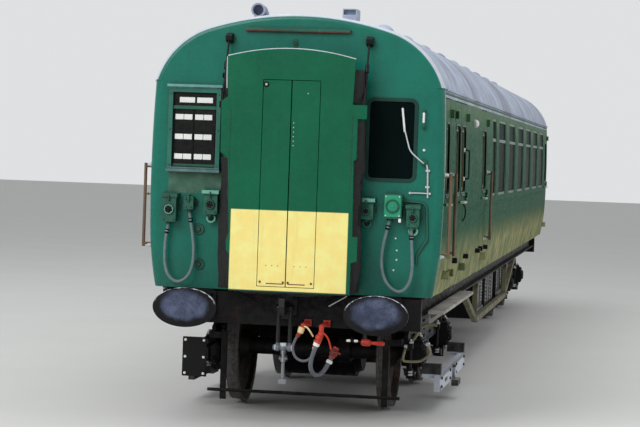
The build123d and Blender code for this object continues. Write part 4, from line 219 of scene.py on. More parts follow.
def wheel_finish(name, axle):
    """Rusty iron with a tread polished by the rail and a greasy hub; axle is its place along the coach."""
    g = Graph(name, Specular_IOR_Level=0.3)
    tone = g.mix(g.cloud(4.0, 6.0, 0.35, 0.7), (22, 18, 16), (44, 34, 28))
    tone = g.mix(g.times(g.cloud(7.0, 8.0, 0.5, 0.66, roughness=0.65), 0.5), tone, RUST)
    ahead = g.math("SUBTRACT", g.axis("Y"), axle - HALF_LENGTH)
    up = g.math("SUBTRACT", g.axis("Z"), AXLE_HEIGHT + RAIL_TOP)
    reach = g.math("SQRT", g.plus(g.math("POWER", ahead, 2.0), g.math("POWER", up, 2.0)))
    grease = g.times(g.ramp(reach, 0.150, 0.210, 1.0, 0.0), g.cloud(14.0, 5.0, 0.3, 0.6, 0.4, 1.0))
    tone = g.mix(grease, tone, (10, 9, 9))
    polish = g.ramp(reach, 0.536, 0.541)
    steel = g.mix(g.cloud(30.0, 5.0, 0.3, 0.7), (98, 96, 98), (70, 64, 60))
    tone = g.mix(g.times(polish, 0.85), tone, steel)
    roughness = g.math("SUBTRACT", g.cloud(18.0, 4.0, 0.3, 0.7, 0.5, 0.75), g.times(polish, 0.25))
    return g.done(tone, roughness, g.bump(g.noise(60.0, 5.0), 0.0025))


def bare_metal(name, color, rough):
    g = Graph(name, Metallic=1.0)
    tone = g.mix(g.times(g.cloud(12.0, 6.0, 0.45, 0.7), 0.25), color, BLACK)
    normal = g.bump(g.noise(120.0, 4.0, stretch=(1.0, 1.0, 0.15)), 0.0008, 0.4)
    return g.done(tone, g.cloud(40.0, 5.0, 0.3, 0.7, rough * 0.7, rough * 1.5), normal)


def buffer_finish():
    """Black buffers whose faces are worn to slate by contact, with a painted highlight along their upper rims."""
    g = Graph("buffer_worn", Specular_IOR_Level=0.2)
    black = g.mix(g.cloud(4.0, 6.0, 0.35, 0.7), (6, 6, 8), (18, 18, 22))
    middle_x, middle_z = 0.870, 1.072 + RAIL_TOP
    along = g.math("SUBTRACT", g.math("ABSOLUTE", g.axis("X")), middle_x)
    up = g.math("SUBTRACT", g.axis("Z"), middle_z)

    def oval(half_width, half_height):
        """1 on an oval round the buffer's middle, less inside it."""
        flat = g.math("POWER", g.math("DIVIDE", along, half_width), 2.0)
        return g.plus(flat, g.math("POWER", g.math("DIVIDE", up, half_height), 2.0))

    wobble = g.cloud(11.0, 5.0, 0.3, 0.7, 0.86, 1.14)
    worn = g.ramp(g.times(oval(0.215, 0.134), wobble), 0.50, 1.35, 1.0, 0.0)
    front = g.ramp(g.axis("Y"), -0.607 - HALF_LENGTH, -0.600 - HALF_LENGTH, 1.0, 0.0)
    slate = g.mix(g.cloud(7.0, 6.0, 0.3, 0.7), (88, 98, 124), (54, 60, 82))
    slate = g.mix(g.times(g.cloud(60.0, 8.0, 0.5, 0.64, roughness=0.7), 0.5), slate, (30, 32, 42))
    slate = g.mix(g.times(g.cloud(4.0, 5.0, 0.5, 0.75), 0.35), slate, (112, 118, 142))
    tone = g.mix(g.times(worn, front), black, slate)
    # painted highlight: a near-white band on the upper half of each head's rim
    rim = g.ramp(g.times(oval(0.2925, 0.169), g.cloud(20.0, 5.0, 0.3, 0.7, 0.95, 1.05)), 0.86, 0.94)
    rim = g.times(g.times(rim, g.ramp(up, 0.01, 0.09)), front)
    tone = g.mix(g.times(rim, 0.95), tone, (228, 234, 244))
    return g.done(tone, g.cloud(26.0, 5.0, 0.3, 0.7, 0.34, 0.6), g.bump(g.noise(26.0, 6.0), 0.003))


def rubber(name, color, rough=0.5, chalk=0.3):
    """Perished rubber: chalky patches and fine crazing."""
    g = Graph(name, Specular_IOR_Level=0.35)
    tone = g.mix(g.times(g.cloud(16.0, 6.0, 0.4, 0.7), chalk), color, shade(color, 1.6, 0.02))
    return g.done(tone, g.cloud(25.0, 4.0, 0.3, 0.7, rough * 0.8, rough * 1.3), g.bump(g.noise(220.0, 4.0), 0.0012))


def roof_finish():
    """Weathered roof paint: pale and chalky, with darker bands across and runs towards the gutters."""
    g = Graph("roof_weathered", Specular_IOR_Level=0.3)
    tone = g.mix(g.cloud(2.2, 6.0, 0.3, 0.7), (178, 192, 212), (146, 152, 172))
    bands = g.times(g.cloud(0.55, 3.0, 0.53, 0.62, stretch=(0.05, 1.0, 0.05)),
                    g.cloud(3.0, 6.0, 0.3, 0.7, 0.4, 1.0, stretch=(0.3, 2.0, 0.3)))
    tone = g.mix(g.times(bands, 0.75), tone, (98, 98, 112))
    runs = g.cloud(2.6, 6.0, 0.5, 0.75, stretch=(0.35, 9.0, 0.35))
    tone = g.mix(g.times(runs, 0.42), tone, (112, 108, 118))
    tone = g.mix(g.times(g.cloud(26.0, 6.0, 0.62, 0.72), 0.35), tone, (206, 208, 214))
    normal = g.bump(g.noise(1.1, 4.0), 0.012)
    return g.done(tone, g.cloud(9.0, 4.0, 0.3, 0.7, 0.42, 0.7), g.bump(g.noise(90.0, 5.0), 0.002, over=normal))


def glass(name, color, rough, specular, zones=()):
    """Dark glass, mostly opaque: painted shade of the space behind it, of which a little shows through, under a paler
    film of dirt.
    """
    g = Graph(name, IOR=1.45, Specular_IOR_Level=specular)
    film = g.cloud(3.5, 6.0, 0.4, 0.75)
    tone = g.mix(g.times(film, 0.3), color, (50, 68, 60))
    for low, high, zone_color in zones:
        tone = g.mix(g.within(low, high), tone, zone_color)
    g.feed(g.shader.inputs["Alpha"], g.plus(g.times(film, 0.1), 0.86))
    return g.done(tone, g.plus(g.times(film, 0.08), rough), g.bump(g.noise(1.8, 2.0), 0.004, 0.25))


def moquette():
    """Woven seat cloth: a fine check of two yarns with a nap."""
    g = Graph("moquette", Sheen_Weight=0.35, Sheen_Roughness=0.5, Specular_IOR_Level=0.2)
    blue, brown = (38, 58, 78), (92, 62, 58)
    weave = g.node("TexChecker", {"Vector": g.place, "Scale": 260.0}).outputs["Fac"]
    tone = g.mix(g.times(weave, 0.35), blue, brown)
    tone = g.mix(g.times(g.cloud(30.0, 3.0, 0.48, 0.56), 0.4), tone, brown)
    return g.done(tone, g.cloud(40.0, 3.0, 0.3, 0.7, 0.75, 0.95),
                  g.bump(g.plus(weave, g.noise(500.0, 3.0)), 0.0012, 0.6))


def timber(name, color, dark, rough):
    """Timber with upright grain."""
    g = Graph(name, Specular_IOR_Level=0.35)
    grain = g.noise(38.0, 6.0, stretch=(1, 1, 0.06))
    tone = g.mix(g.ramp(grain, 0.35, 0.7), color, dark)
    tone = g.mix(g.times(g.cloud(5.0, 4.0, 0.5, 0.75), 0.3), tone, dark)
    return g.done(tone, g.cloud(12.0, 3.0, 0.3, 0.7, rough * 0.8, rough * 1.3), g.bump(grain, 0.003))


def floor_finish():
    g = Graph("stage_floor", Specular_IOR_Level=0.2)
    return g.done(g.mix(g.noise(0.6, 3.0), (214, 214, 212), (222, 222, 220)), 0.8)


# Zones of another colour
ROOF_EDGE = ((None, 0.010, 3.12), (None, None, None), (196, 204, 216))
DULL_PATCH = ((-1.190, None, 2.075), (-0.690, 0.010, 2.290), (58, 100, 80))
YELLOW_PANEL = ((-0.523, None, 1.222), (0.556, -0.335, 1.952), YELLOW)
DOOR_HANDLES = [((1.389, None, 2.02), (None, None, 2.08), (206, 200, 180)),
                ((None, None, 2.02), (-1.389, None, 2.08), (206, 200, 180))]
SIDE = dict(color=(22, 80, 54), rough=0.42, shade_and_dirt_share=0.5, grime_and_shade_color=(28, 42, 34), low_grime=(1.44, 1.86, 0.97),
            low_color=(176, 172, 128), streak=0.35, specular=0.012, ripple=0.0012, run_scale=(0.0, 9.0, 0.16),
            top_fade=(2.70, 3.06, 0.42, (128, 152, 118)))

FINISHES = {
    paint: {
        "front_green": dict(
            color=(17, 111, 94), rough=0.24, vary=0.12, shade_and_dirt_share=0.5, grime_and_shade_color=(30, 46, 44), streak=0.10, chips=0.04,
            chip_color=(120, 170, 150), specular=0.3, low_grime=(1.2, 1.62, 0.45), zones=[ROOF_EDGE, DULL_PATCH]),
        "rear_green": dict(
            color=(18, 84, 62), rough=0.45, vary=0.2, shade_and_dirt_share=0.7, grime_and_shade_color=(30, 34, 32), streak=0.5,
            low_grime=(1.3, 2.2, 0.7), low_color=(74, 70, 62), chips=0.08, chip_color=(130, 150, 140), specular=0.2),
        "door_green": dict(
            color=(2, 95, 66), rough=0.26, vary=0.1, shade_and_dirt_share=0.5, grime_and_shade_color=(26, 44, 40), streak=0.10,
            specular=0.25, zones=[YELLOW_PANEL]),
        "vivid_green": dict(color=(34, 150, 112), vary=0.2, shade_and_dirt_share=0.8, grime_and_shade_color=(14, 44, 36), chips=0.2,
                            chip_color=(190, 214, 200)),
        "pale_green": dict(color=(110, 178, 156), rough=0.35, vary=0.2, shade_and_dirt_share=0.8, grime_and_shade_color=(28, 50, 44),
                           chips=0.2, chip_color=(220, 230, 220)),
        "side_green": SIDE,
        "side_door": dict(SIDE, zones=DOOR_HANDLES),
        "fitting_green": dict(
            color=(22, 92, 72), rough=0.4, vary=0.3, shade_and_dirt_share=0.8, grime_and_shade_color=(20, 28, 28), streak=0.3, chips=0.16,
            chip_color=(130, 176, 160), ripple=0.002, grain=0.0004),
        # the box's paler top ledge and sill are painted highlights, where light catches them
        "box_green": dict(
            color=(40, 106, 90), rough=0.35, vary=0.2, shade_and_dirt_share=0.7, grime_and_shade_color=(24, 40, 38), chips=0.08,
            chip_color=(140, 184, 170), specular=0.35,
            zones=[((None, None, 3.045), (None, None, None), (98, 156, 150)),
                   ((None, None, None), (None, None, 2.318), (78, 114, 112))]),
        "gear_paint": dict(
            color=BLACK, rough=0.42, vary=0.4, shade_and_dirt_share=0.4, grime_and_shade_color=(30, 26, 22), streak=0.2,
            zones=[((-0.068, -0.180, 0.0), (0.008, None, 0.600), (120, 122, 128)),
                   ((-0.140, -0.180, 0.650), (0.080, None, 0.735), (104, 108, 116))]),
        "shoe_paint": dict(
            color=(192, 198, 210), rough=0.6, shade_and_dirt_share=0.9, grime_and_shade_color=(60, 54, 50), streak=0.3, chips=0.35,
            chip_color=(120, 112, 104), ripple=0.003,
            zones=[((None, None, None), (0.0, None, None), (14, 14, 15)),
                   ((1.264, None, None), (None, None, 0.180), (46, 40, 38)),
                   ((1.264, None, 0.300), (None, None, None), (26, 24, 24)),
                   ((None, None, 0.345), (None, None, None), (16, 16, 17))]),
        "silver_paint": dict(color=(196, 208, 210), rough=0.4, vary=0.1, shade_and_dirt_share=0.5, streak=0.3, chips=0.2,
                             chip_color=(60, 100, 90)),
        "floor_lino": dict(color=(70, 58, 50), rough=0.6, vary=0.2, streak=0.0),
        "pipe_red": dict(color=(186, 52, 34), rough=0.4, vary=0.25, shade_and_dirt_share=0.8, grime_and_shade_color=BLACK, streak=0.3,
                         chips=0.4),
        "brown_red": dict(color=(128, 52, 40), rough=0.5, vary=0.3, shade_and_dirt_share=0.8, grime_and_shade_color=BLACK, chips=0.4,
                          chip_color=(196, 120, 90)),
        "mark_white": dict(color=(240, 242, 238), rough=0.35, vary=0.05, shade_and_dirt_share=0.3, streak=0.05),
        # the side windows' frames are painted paler all over: a painted highlight standing for light along their
        # edges
        "frame_green": dict(
            color=(26, 62, 52), rough=0.4, vary=0.2, shade_and_dirt_share=0.6, grime_and_shade_color=(16, 20, 20), chips=0.1,
            chip_color=(150, 190, 175), specular=0.2, zones=[((None, 5.5, 1.9), (None, 18.1, 3.0), (84, 114, 94))]),
        "cream_paint": dict(color=(226, 200, 150), rough=0.45, vary=0.2, shade_and_dirt_share=0.7, grime_and_shade_color=BLACK, streak=0.3),
    },
    iron: {
        "black_iron": dict(dusty=0.2),
        "clean_black": dict(dusty=0.12, rusty=0.04, rough=0.3),
        "truss_dust": dict(color=(104, 102, 82), dusty=0.5, rusty=0.12, rough=0.75),
        "khaki_iron": dict(color=(124, 120, 96), dusty=0.4, rusty=0.2, rough=0.7),
        "board_dust": dict(color=(142, 140, 136), dusty=0.25, rusty=0.08, rough=0.75),
    },
    bare_metal: {
        "bright_steel": dict(color=(170, 172, 176), rough=0.3),
        "brass": dict(color=(170, 130, 70), rough=0.35),
    },
    glass: {
        # the panes' dark colours are painted shade of the unlit space behind the glass
        "glass_dark": dict(color=(14, 24, 22), rough=0.05, specular=0.01),
        "window_pane": dict(
            color=(20, 36, 28), specular=0.0001, rough=0.12,
            zones=[((None, 1.0, 2.720), (None, None, None), (4, 40, 32)),
                   ((None, None, None), (None, 1.0, None), (14, 24, 24))]),
    },
    rubber: {
        "bellows_black": dict(color=(22, 22, 24), rough=0.7),
        "cable_grey": dict(color=(104, 122, 124)),
        "hose_grey": dict(color=(96, 98, 104)),
        "curtain_black": dict(color=(12, 12, 13), chalk=0.2),
    },
    timber: {
        "panel_wood": dict(color=(150, 104, 66), dark=(104, 66, 38), rough=0.5),
        "rail_wood": dict(color=(122, 98, 76), dark=(70, 54, 42), rough=0.55),
    },
}
LOOKS = {name: maker(name, **facts) for maker, looks in FINISHES.items() for name, facts in looks.items()}
LOOKS.update(roof=roof_finish(), buffers=buffer_finish(), moquette=moquette())

# The CAD nodes that have each look; the side doors, wheels and black ironwork aren't listed
NODES_OF_LOOK = {
    "side_green": "side_walls", "front_green": "front_end", "rear_green": "rear_end",
    "door_green": "gangway_end_board gangway_leaf_right gangway_leaf_left", "box_green": "headcode_box",
    "fitting_green": "jumper_fittings front_fittings", "roof": "roof roof_ventilators",
    "window_pane": "window_glass", "frame_green": "window_frames", "panel_wood": "driver_desk partitions",
    "clean_black": "gangway_suspension", "moquette": "seats", "floor_lino": "floor",
    "bellows_black": "gangway_bellows gangway_rear_bellows", "rail_wood": "handrails", "board_dust": "footboards",
    "pipe_red": "brake_pipes hose_heads", "shoe_paint": "shoe_gear", "truss_dust": "underframe_truss",
    "buffers": "buffers", "gear_paint": "draw_gear",
}


def dress_nodes():
    """Gives every CAD node its finish."""
    look_of_node = {name: look for look, names in NODES_OF_LOOK.items() for name in names.split()}
    for name, node in NODES.items():
        if "wheelset" in name:
            bogie, end = name.split("_wheelset_")
            offset = HALF_WHEELBASE if end == "trailing" else -HALF_WHEELBASE
            material = wheel_finish(f"{name}_iron", PIVOTS[f"{bogie}_bogie"] + offset)
        else:
            other = "side_door" if "door" in name or "van_leaf" in name else "black_iron"
            material = LOOKS[look_of_node.get(name, other)]
        node.data.materials.clear()
        node.data.materials.append(material)


def show(name, data):
    """A new object in the scene."""
    made = bpy.data.objects.new(name, data)
    bpy.context.scene.collection.objects.link(made)
    return made


# The photograph's camera, in the layout, with its turns in radians
CAMERA_PLACE = at(3.2716, -20.0995, 2.4699)
CAMERA_YAW, CAMERA_PITCH, CAMERA_ROLL = -0.1495, -0.0265, 0.0352
FOCAL_PIXELS = 2208
IMAGE_WIDTH = 640
SENSOR_WIDTH = 36.0


def make_camera():
    data = bpy.data.cameras.new("camera")
    data.sensor_width = SENSOR_WIDTH
    data.lens = FOCAL_PIXELS / IMAGE_WIDTH * SENSOR_WIDTH
    data.clip_end = 200.0
    ahead, aside = math.cos(CAMERA_YAW), math.sin(CAMERA_YAW)
    forward = Vector((aside * math.cos(CAMERA_PITCH), ahead * math.cos(CAMERA_PITCH), math.sin(CAMERA_PITCH)))
    level = Vector((ahead, -aside, 0.0))
    right = math.cos(CAMERA_ROLL) * level + math.sin(CAMERA_ROLL) * level.cross(forward)
    turn = Matrix((right, right.cross(forward), -forward)).transposed()
    camera = show("camera", data)
    camera.matrix_world = Matrix.Translation(CAMERA_PLACE) @ turn.to_4x4()
    bpy.context.scene.camera = camera


# The cords' routes are those of the part's own tubes
JUMPER_LEFT = (
    (-1.165, -0.062, 1.780), (-1.182, -0.063, 1.680), (-1.190, -0.067, 1.560), (-1.186, -0.076, 1.420),
    (-1.150, -0.086, 1.305), (-1.062, -0.090, 1.240), (-0.965, -0.086, 1.288), (-0.918, -0.078, 1.400),
    (-0.912, -0.072, 1.545), (-0.930, -0.067, 1.690), (-0.952, -0.063, 1.800), (-0.968, -0.062, 1.895))
JUMPER_RIGHT = (
    (0.896, -0.062, 1.888), (0.876, -0.063, 1.795), (0.850, -0.065, 1.680), (0.833, -0.070, 1.545),
    (0.850, -0.080, 1.400), (0.915, -0.088, 1.285), (1.020, -0.090, 1.232), (1.100, -0.086, 1.312),
    (1.124, -0.076, 1.440), (1.117, -0.070, 1.580), (1.106, -0.065, 1.700), (1.101, -0.062, 1.812))
HOSE_LEFT = (
    (0.133, -0.292, 0.838), (0.088, -0.295, 0.765), (0.080, -0.298, 0.680), (0.118, -0.300, 0.606),
    (0.205, -0.300, 0.585), (0.270, -0.296, 0.640), (0.282, -0.292, 0.720))
HOSE_RIGHT = (
    (0.312, -0.345, 0.762), (0.278, -0.352, 0.672), (0.254, -0.345, 0.580), (0.258, -0.298, 0.502),
    (0.288, -0.215, 0.455), (0.330, -0.135, 0.465), (0.370, -0.085, 0.530), (0.405, -0.060, 0.612))


def tube(name, route, diameter, rings, along):
    """A round curve along a smooth line near the points, with closed ends."""
    curve = bpy.data.curves.new(name, "CURVE")
    curve.dimensions = "3D"
    curve.bevel_depth = diameter / 2
    curve.bevel_resolution = rings
    curve.resolution_u = along
    curve.use_fill_caps = True
    spline = curve.splines.new("NURBS")
    spline.points.add(len(route) - 1)
    for point, place in zip(spline.points, route):
        point.co = (*place, 1.0)
    spline.order_u = 3
    spline.use_endpoint_u = True
    return curve


def make_cord(name, node, route, diameter, length, look, **facts):
    curve = tube(name, [at(*place) for place in route], diameter, 6, 16)
    curve.materials.append(LOOKS[look])
    cord = show(name, curve)
    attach(cord, "coach_body")
    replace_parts(cord, node)


def make_cords():
    plugged = dict(far_end="object", stiffness="medium")
    make_cord("jumper_left", "jumper_cable_left", JUMPER_LEFT, 0.030, 1.303, "cable_grey", **plugged)
    make_cord("jumper_right", "jumper_cable_right", JUMPER_RIGHT, 0.030, 1.340, "cable_grey", **plugged)
    fitted = dict(far_end="fitting", with_pieces=[NODES["hose_heads"]])
    make_cord("hose_left", "brake_hose_left", HOSE_LEFT, 0.025, 0.493, "hose_grey", stiffness="medium", **fitted)
    make_cord("hose_right", "brake_hose_right", HOSE_RIGHT, 0.040, 0.646, "hose_grey", stiffness="stiff", **fitted)


# Shapes

FRONT, BACK = (0, -1, 0), (0, 1, 0)
OUTWARD, INWARD = (1, 0, 0), (-1, 0, 0)
UP, DOWN = (0, 0, 1), (0, 0, -1)


def side_x(z):
    """Half width of the body side at height z."""
    centre_x, centre_z, radius = (-1.77526, 1.84910, 3.14384) if z < 1.750 else (-14.67739, 2.256, 16.05239)
    return centre_x + math.sqrt(radius ** 2 - (z - centre_z) ** 2)


def spread(first, last, count):
    """Evenly spaced values from first to last."""
    return [first + (last - first) * index / (count - 1) for index in range(count)]


def about(middle, half):
    return middle - half, middle + half


def rounded(u, v, corner, grow=0.0, steps=5):
    """Points of a rounded rectangle, grown outwards."""
    left, right, low, high = u[0] + corner, u[1] - corner, v[0] + corner, v[1] - corner
    radius, places = corner + grow, []
    for centre_u, centre_v, start in ((right, high, 0), (left, high, 90), (left, low, 180), (right, low, 270)):
        for step in range(steps + 1):
            angle = math.radians(start + 90 * step / steps)
            places.append((centre_u + radius * math.cos(angle), centre_v + radius * math.sin(angle)))
    return places


def bands(count, rows=2, closed=False):
    """Quads between neighbouring rows of count points each."""
    faces = []
    for row in range(rows if closed else rows - 1):
        near, far = row * count, (row + 1) % rows * count
        faces += [[near + i, near + (i + 1) % count, far + (i + 1) % count, far + i] for i in range(count)]
    return faces


class Piece:
    """One mesh of many shapes in the part's layout, each shape in one of its looks.

    While flip is set, shapes are mirrored across the centre line.
    """

    def __init__(self, name, body, looks):
        self.name, self.body, self.looks = name, body, looks.split()
        self.points, self.faces, self.slots = [], [], []
        self.flip = False

    def add(self, points, faces, slot=0):
        start = len(self.points)
        self.points += [at(-x if self.flip else x, y, z) for x, y, z in points]
        self.faces += [[start + index for index in face] for face in faces]
        self.slots += [slot] * len(faces)

    def box(self, x, y, z, bevel=0.002, slot=0):
        """A box between two corners with chamfered edges: three points at each corner."""
        square = ((0, 0), (1, 0), (1, 1), (0, 1))
        points = [[limits[bit] + (0 if axis == facing else bevel * (1 - 2 * bit))
                   for axis, (limits, bit) in enumerate(zip((x, y, z), (corner >> 2, corner >> 1 & 1, corner & 1)))]
                  for corner in range(8) for facing in range(3)]
        faces = []
        for axis in range(3):
            b, c = (axis + 1) % 3, (axis + 2) % 3

            def spot(end, pair, facing):
                return 3 * ((end << 2 - axis) + (pair[0] << 2 - b) + (pair[1] << 2 - c)) + facing

            faces += [[spot(end, pair, axis) for pair in square] for end in (0, 1)]
            faces += [[spot(0, pair, b), spot(1, pair, b), spot(1, pair, c), spot(0, pair, c)] for pair in square]
        self.add(points, faces + [[3 * corner, 3 * corner + 1, 3 * corner + 2] for corner in range(8)], slot)

    def turned(self, profile, origin, direction, slot=0, sides=20, closed=False):
        """A turned shape from (distance along the axis, radius) points."""
        origin, direction = Vector(origin), Vector(direction).normalized()
        across = direction.orthogonal().normalized()
        other = direction.cross(across)
        turns = [2 * math.pi * (index + 0.5) / sides for index in range(sides)]
        points = [origin + direction * distance + radius * (math.cos(turn) * across + math.sin(turn) * other)
                  for distance, radius in profile for turn in turns]
        faces = bands(sides, len(profile), closed)
        if not closed:
            faces += [list(range(sides))[::-1], list(range(len(points) - sides, len(points)))]
        self.add(points, faces, slot)

    def rod(self, start, end, radius, slot=0):
        """A round bar with chamfered ends."""
        start, end = Vector(start), Vector(end)
        length, edge = (end - start).length, radius * 0.15
        self.turned([(0, radius - edge), (edge, radius), (length - edge, radius), (length, radius - edge)],
                    start, end - start, slot, 14)

    def bolt(self, place, direction, radius, slot=0):
        """A hexagonal head on a washer."""
        self.turned([(0, radius * 1.45), (radius * 0.22, radius * 1.45), (radius * 0.25, radius * 1.3)], place,
                    direction, slot, 14)
        self.turned([(radius * 0.2, radius), (radius * 0.85, radius), (radius * 1.05, radius * 0.8)], place,
                    direction, slot, 6)

    def rivet(self, place, direction, radius, slot=0):
        self.turned([(0, radius), (radius * 0.3, radius * 0.9), (radius * 0.55, radius * 0.55),
                     (radius * 0.65, radius * 0.15)], place, direction, slot, 10)

    def foot(self, place, direction, radius, neck, slot=0):
        """The round foot of a handle."""
        self.turned([(0, radius), (0.006, radius), (0.012, neck)], place, direction, slot, 14)

    def torus(self, centre, normal, radius, thick, slot=0):
        """A ring of round bar."""
        turns = [2 * math.pi * index / 10 for index in range(10)]
        self.turned([(thick * math.sin(turn), radius + thick * math.cos(turn)) for turn in turns], centre, normal,
                    slot, 24, closed=True)

    def bar(self, route, radius, slot=0):
        """A bent round bar."""
        curve = tube("bar", route, 2 * radius, 3, 4)
        holder = bpy.data.objects.new("bar", curve)
        mesh = bpy.data.meshes.new_from_object(holder)
        self.add([vertex.co for vertex in mesh.vertices], [list(face.vertices) for face in mesh.polygons], slot)
        bpy.data.objects.remove(holder)
        bpy.data.curves.remove(curve)
        bpy.data.meshes.remove(mesh)

    def side_ring(self, y, z, width, corner, proud, depth, slot=0):
        """A frame round an opening in the body side: y and z are the opening's limits."""
        self.strips([[(side_x(b) - inset, a, b) for a, b in rounded(y, z, corner, grow)]
                     for grow, inset in ((width, -proud), (width, depth), (0.0, depth), (0.0, -proud))], slot, True)

    def side_pane(self, y, z, corner, inset, thick, slot=0):
        """A pane that follows the body side."""
        loop = rounded(y, z, corner)
        count = len(loop)
        points = [(side_x(b) - depth, a, b) for depth in (inset, inset + thick) for a, b in loop]
        self.add(points, [list(range(count)), list(range(count, 2 * count))[::-1]] + bands(count), slot)

    def strips(self, loops, slot=0, closed=False):
        """Quads between neighbouring loops of the same number of points."""
        self.add([point for loop in loops for point in loop], bands(len(loops[0]), len(loops), closed), slot)

    def done(self, slot, smooth=35.0):
        mesh = bpy.data.meshes.new(self.name)
        mesh.from_pydata(self.points, [], self.faces)
        mesh.polygons.foreach_set("material_index", self.slots)
        shape = bmesh.new()
        shape.from_mesh(mesh)
        bmesh.ops.recalc_face_normals(shape, faces=shape.faces)
        shape.to_mesh(mesh)
        shape.free()
        mesh.polygons.foreach_set("use_smooth", [True] * len(mesh.polygons))
        mesh.set_sharp_from_angle(angle=math.radians(smooth))
        for look in self.looks:
            mesh.materials.append(LOOKS[look])
        made = show(self.name, mesh)
        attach(made, self.body)
        return made


# Front end

HEADCODE_FACE = -0.035      # front of the display's back plate
BOARD_FACE = -0.350         # front of the gangway's leaves


def make_headcode():
    """The display behind the headcode box's frame: two bars over two windows of plain white flaps."""
    piece = Piece("headcode_display", "coach_body", "clean_black mark_white fitting_green")
    piece.box((-1.155, -0.747), (HEADCODE_FACE - 0.006, HEADCODE_FACE), (2.317, 3.005), 0.001)
    flap = (HEADCODE_FACE - 0.010, HEADCODE_FACE - 0.005)
    for x in ((-1.100, -0.955), (-0.936, -0.786)):
        piece.box(x, flap, (2.912, 2.962), 0.002, 1)
    for depth, z in ((0.026, (2.850, 2.884)), (0.016, (2.317, 2.345))):
        piece.box((-1.157, -0.745), (HEADCODE_FACE - depth, HEADCODE_FACE), z, 0.004, 2)
    for low, high in ((-1.136, -0.974), (-0.950, -0.788)):
        half = (high - low) / 2
        for bottom in (2.388, 2.571, 2.754):
            for left in (low, low + half + 0.002):
                piece.box((left, left + half - 0.002), flap, (bottom, bottom + 0.050), 0.002, 1)
    for x in (-1.143, -0.962, -0.759):
        piece.box(about(x, 0.004), (HEADCODE_FACE - 0.013, HEADCODE_FACE), (2.350, 2.846))
    for x in (-1.177, -0.725):
        for z in (2.33, 2.66, 2.99):
            piece.bolt((x, -0.075, z), FRONT, 0.006, 2)
    piece.done("front_paint")


def make_front_trim():
    """Rivets, wiper, lamp bracket and the small fittings of the front panel."""
    piece = Piece("front_trim", "coach_body", "fitting_green mark_white clean_black brown_red silver_paint")
    for x, z in ((0.953, 1.730), (0.967, 1.620), (0.967, 1.533), (0.943, 1.437)):
        piece.rivet((x, 0.0, z), FRONT, 0.009, 1)
    seams = [(x, z) for x in (-0.645, 0.645) for z in spread(1.25, 3.05, 31)]
    for x, z in seams + [(x, 1.222) for x in spread(-1.24, -0.66, 9) + spread(0.66, 1.24, 9)]:
        piece.rivet((x, 0.0, z), FRONT, 0.0055)
    # brown underside of the rain ledge, and the lamp bracket over the gangway
    piece.box((-0.506, 0.470), (-0.040, -0.001), (3.5925, 3.5999), 0.002, 3)
    piece.box((-0.062, -0.018), (-0.010, 0.0), (3.455, 3.525), 0.003)
    # wiper: spindle case, arm and blade, and its air pipe
    piece.turned([(0, 0.030), (0.022, 0.028), (0.034, 0.016), (0.044, 0.012)], (1.190, 0.0, 2.430), FRONT)
    piece.bar([(1.190, -0.040, 2.425), (1.120, -0.042, 2.480), (1.060, -0.040, 2.535), (1.040, -0.034, 2.600),
               (1.000, -0.024, 2.740)], 0.0065, 4)
    piece.rod((1.004, -0.021, 2.705), (0.976, -0.019, 2.925), 0.010, 1)
    piece.bar([(1.005, -0.012, 2.690), (0.990, -0.012, 2.810), (0.974, -0.012, 2.930)], 0.004, 2)
    piece.bar([(1.205, -0.008, 2.425), (1.226, -0.010, 2.400), (1.228, -0.010, 2.260), (1.234, -0.010, 2.110)],
              0.008, 4)
    for z in (2.35, 2.20):
        piece.box((1.208, 1.248), (-0.020, 0.0), (z, z + 0.020), 0.002, 4)
    piece.bar([(1.070, -0.018, 2.150), (1.150, -0.019, 2.156), (1.252, -0.018, 2.150)], 0.006, 4)
    for x in (1.070, 1.252):
        piece.turned([(0, 0.012), (0.020, 0.012), (0.026, 0.008)], (x, 0.0, 2.150), FRONT, 4)
    piece.turned([(0, 0.014), (0.012, 0.013), (0.022, 0.006)], (1.185, 0.0, 2.545), FRONT, 1)
    # feet of the handle beside the window, and the white paint on it
    for z in (2.747, 2.903):
        piece.turned([(0, 0.019), (0.005, 0.019), (0.009, 0.012)], (1.176, 0.0, z), FRONT)
    piece.rod((1.176, -0.0455, 2.795), (1.176, -0.0455, 2.888), 0.0105, 1)
    # eyes of the suspension, and the catch between the headcode box and the gangway
    for x, z in ((-0.679, 3.170), (0.640, 3.150)):
        piece.torus((x, -0.125, z), OUTWARD, 0.020, 0.006, 2)
    piece.box((-0.685, -0.640), (-0.026, 0.0), (2.52, 2.62), 0.006)
    piece.turned([(0, 0.030), (0.016, 0.028), (0.030, 0.015)], (-0.665, -0.024, 2.575), FRONT)
    piece.done("front_paint")


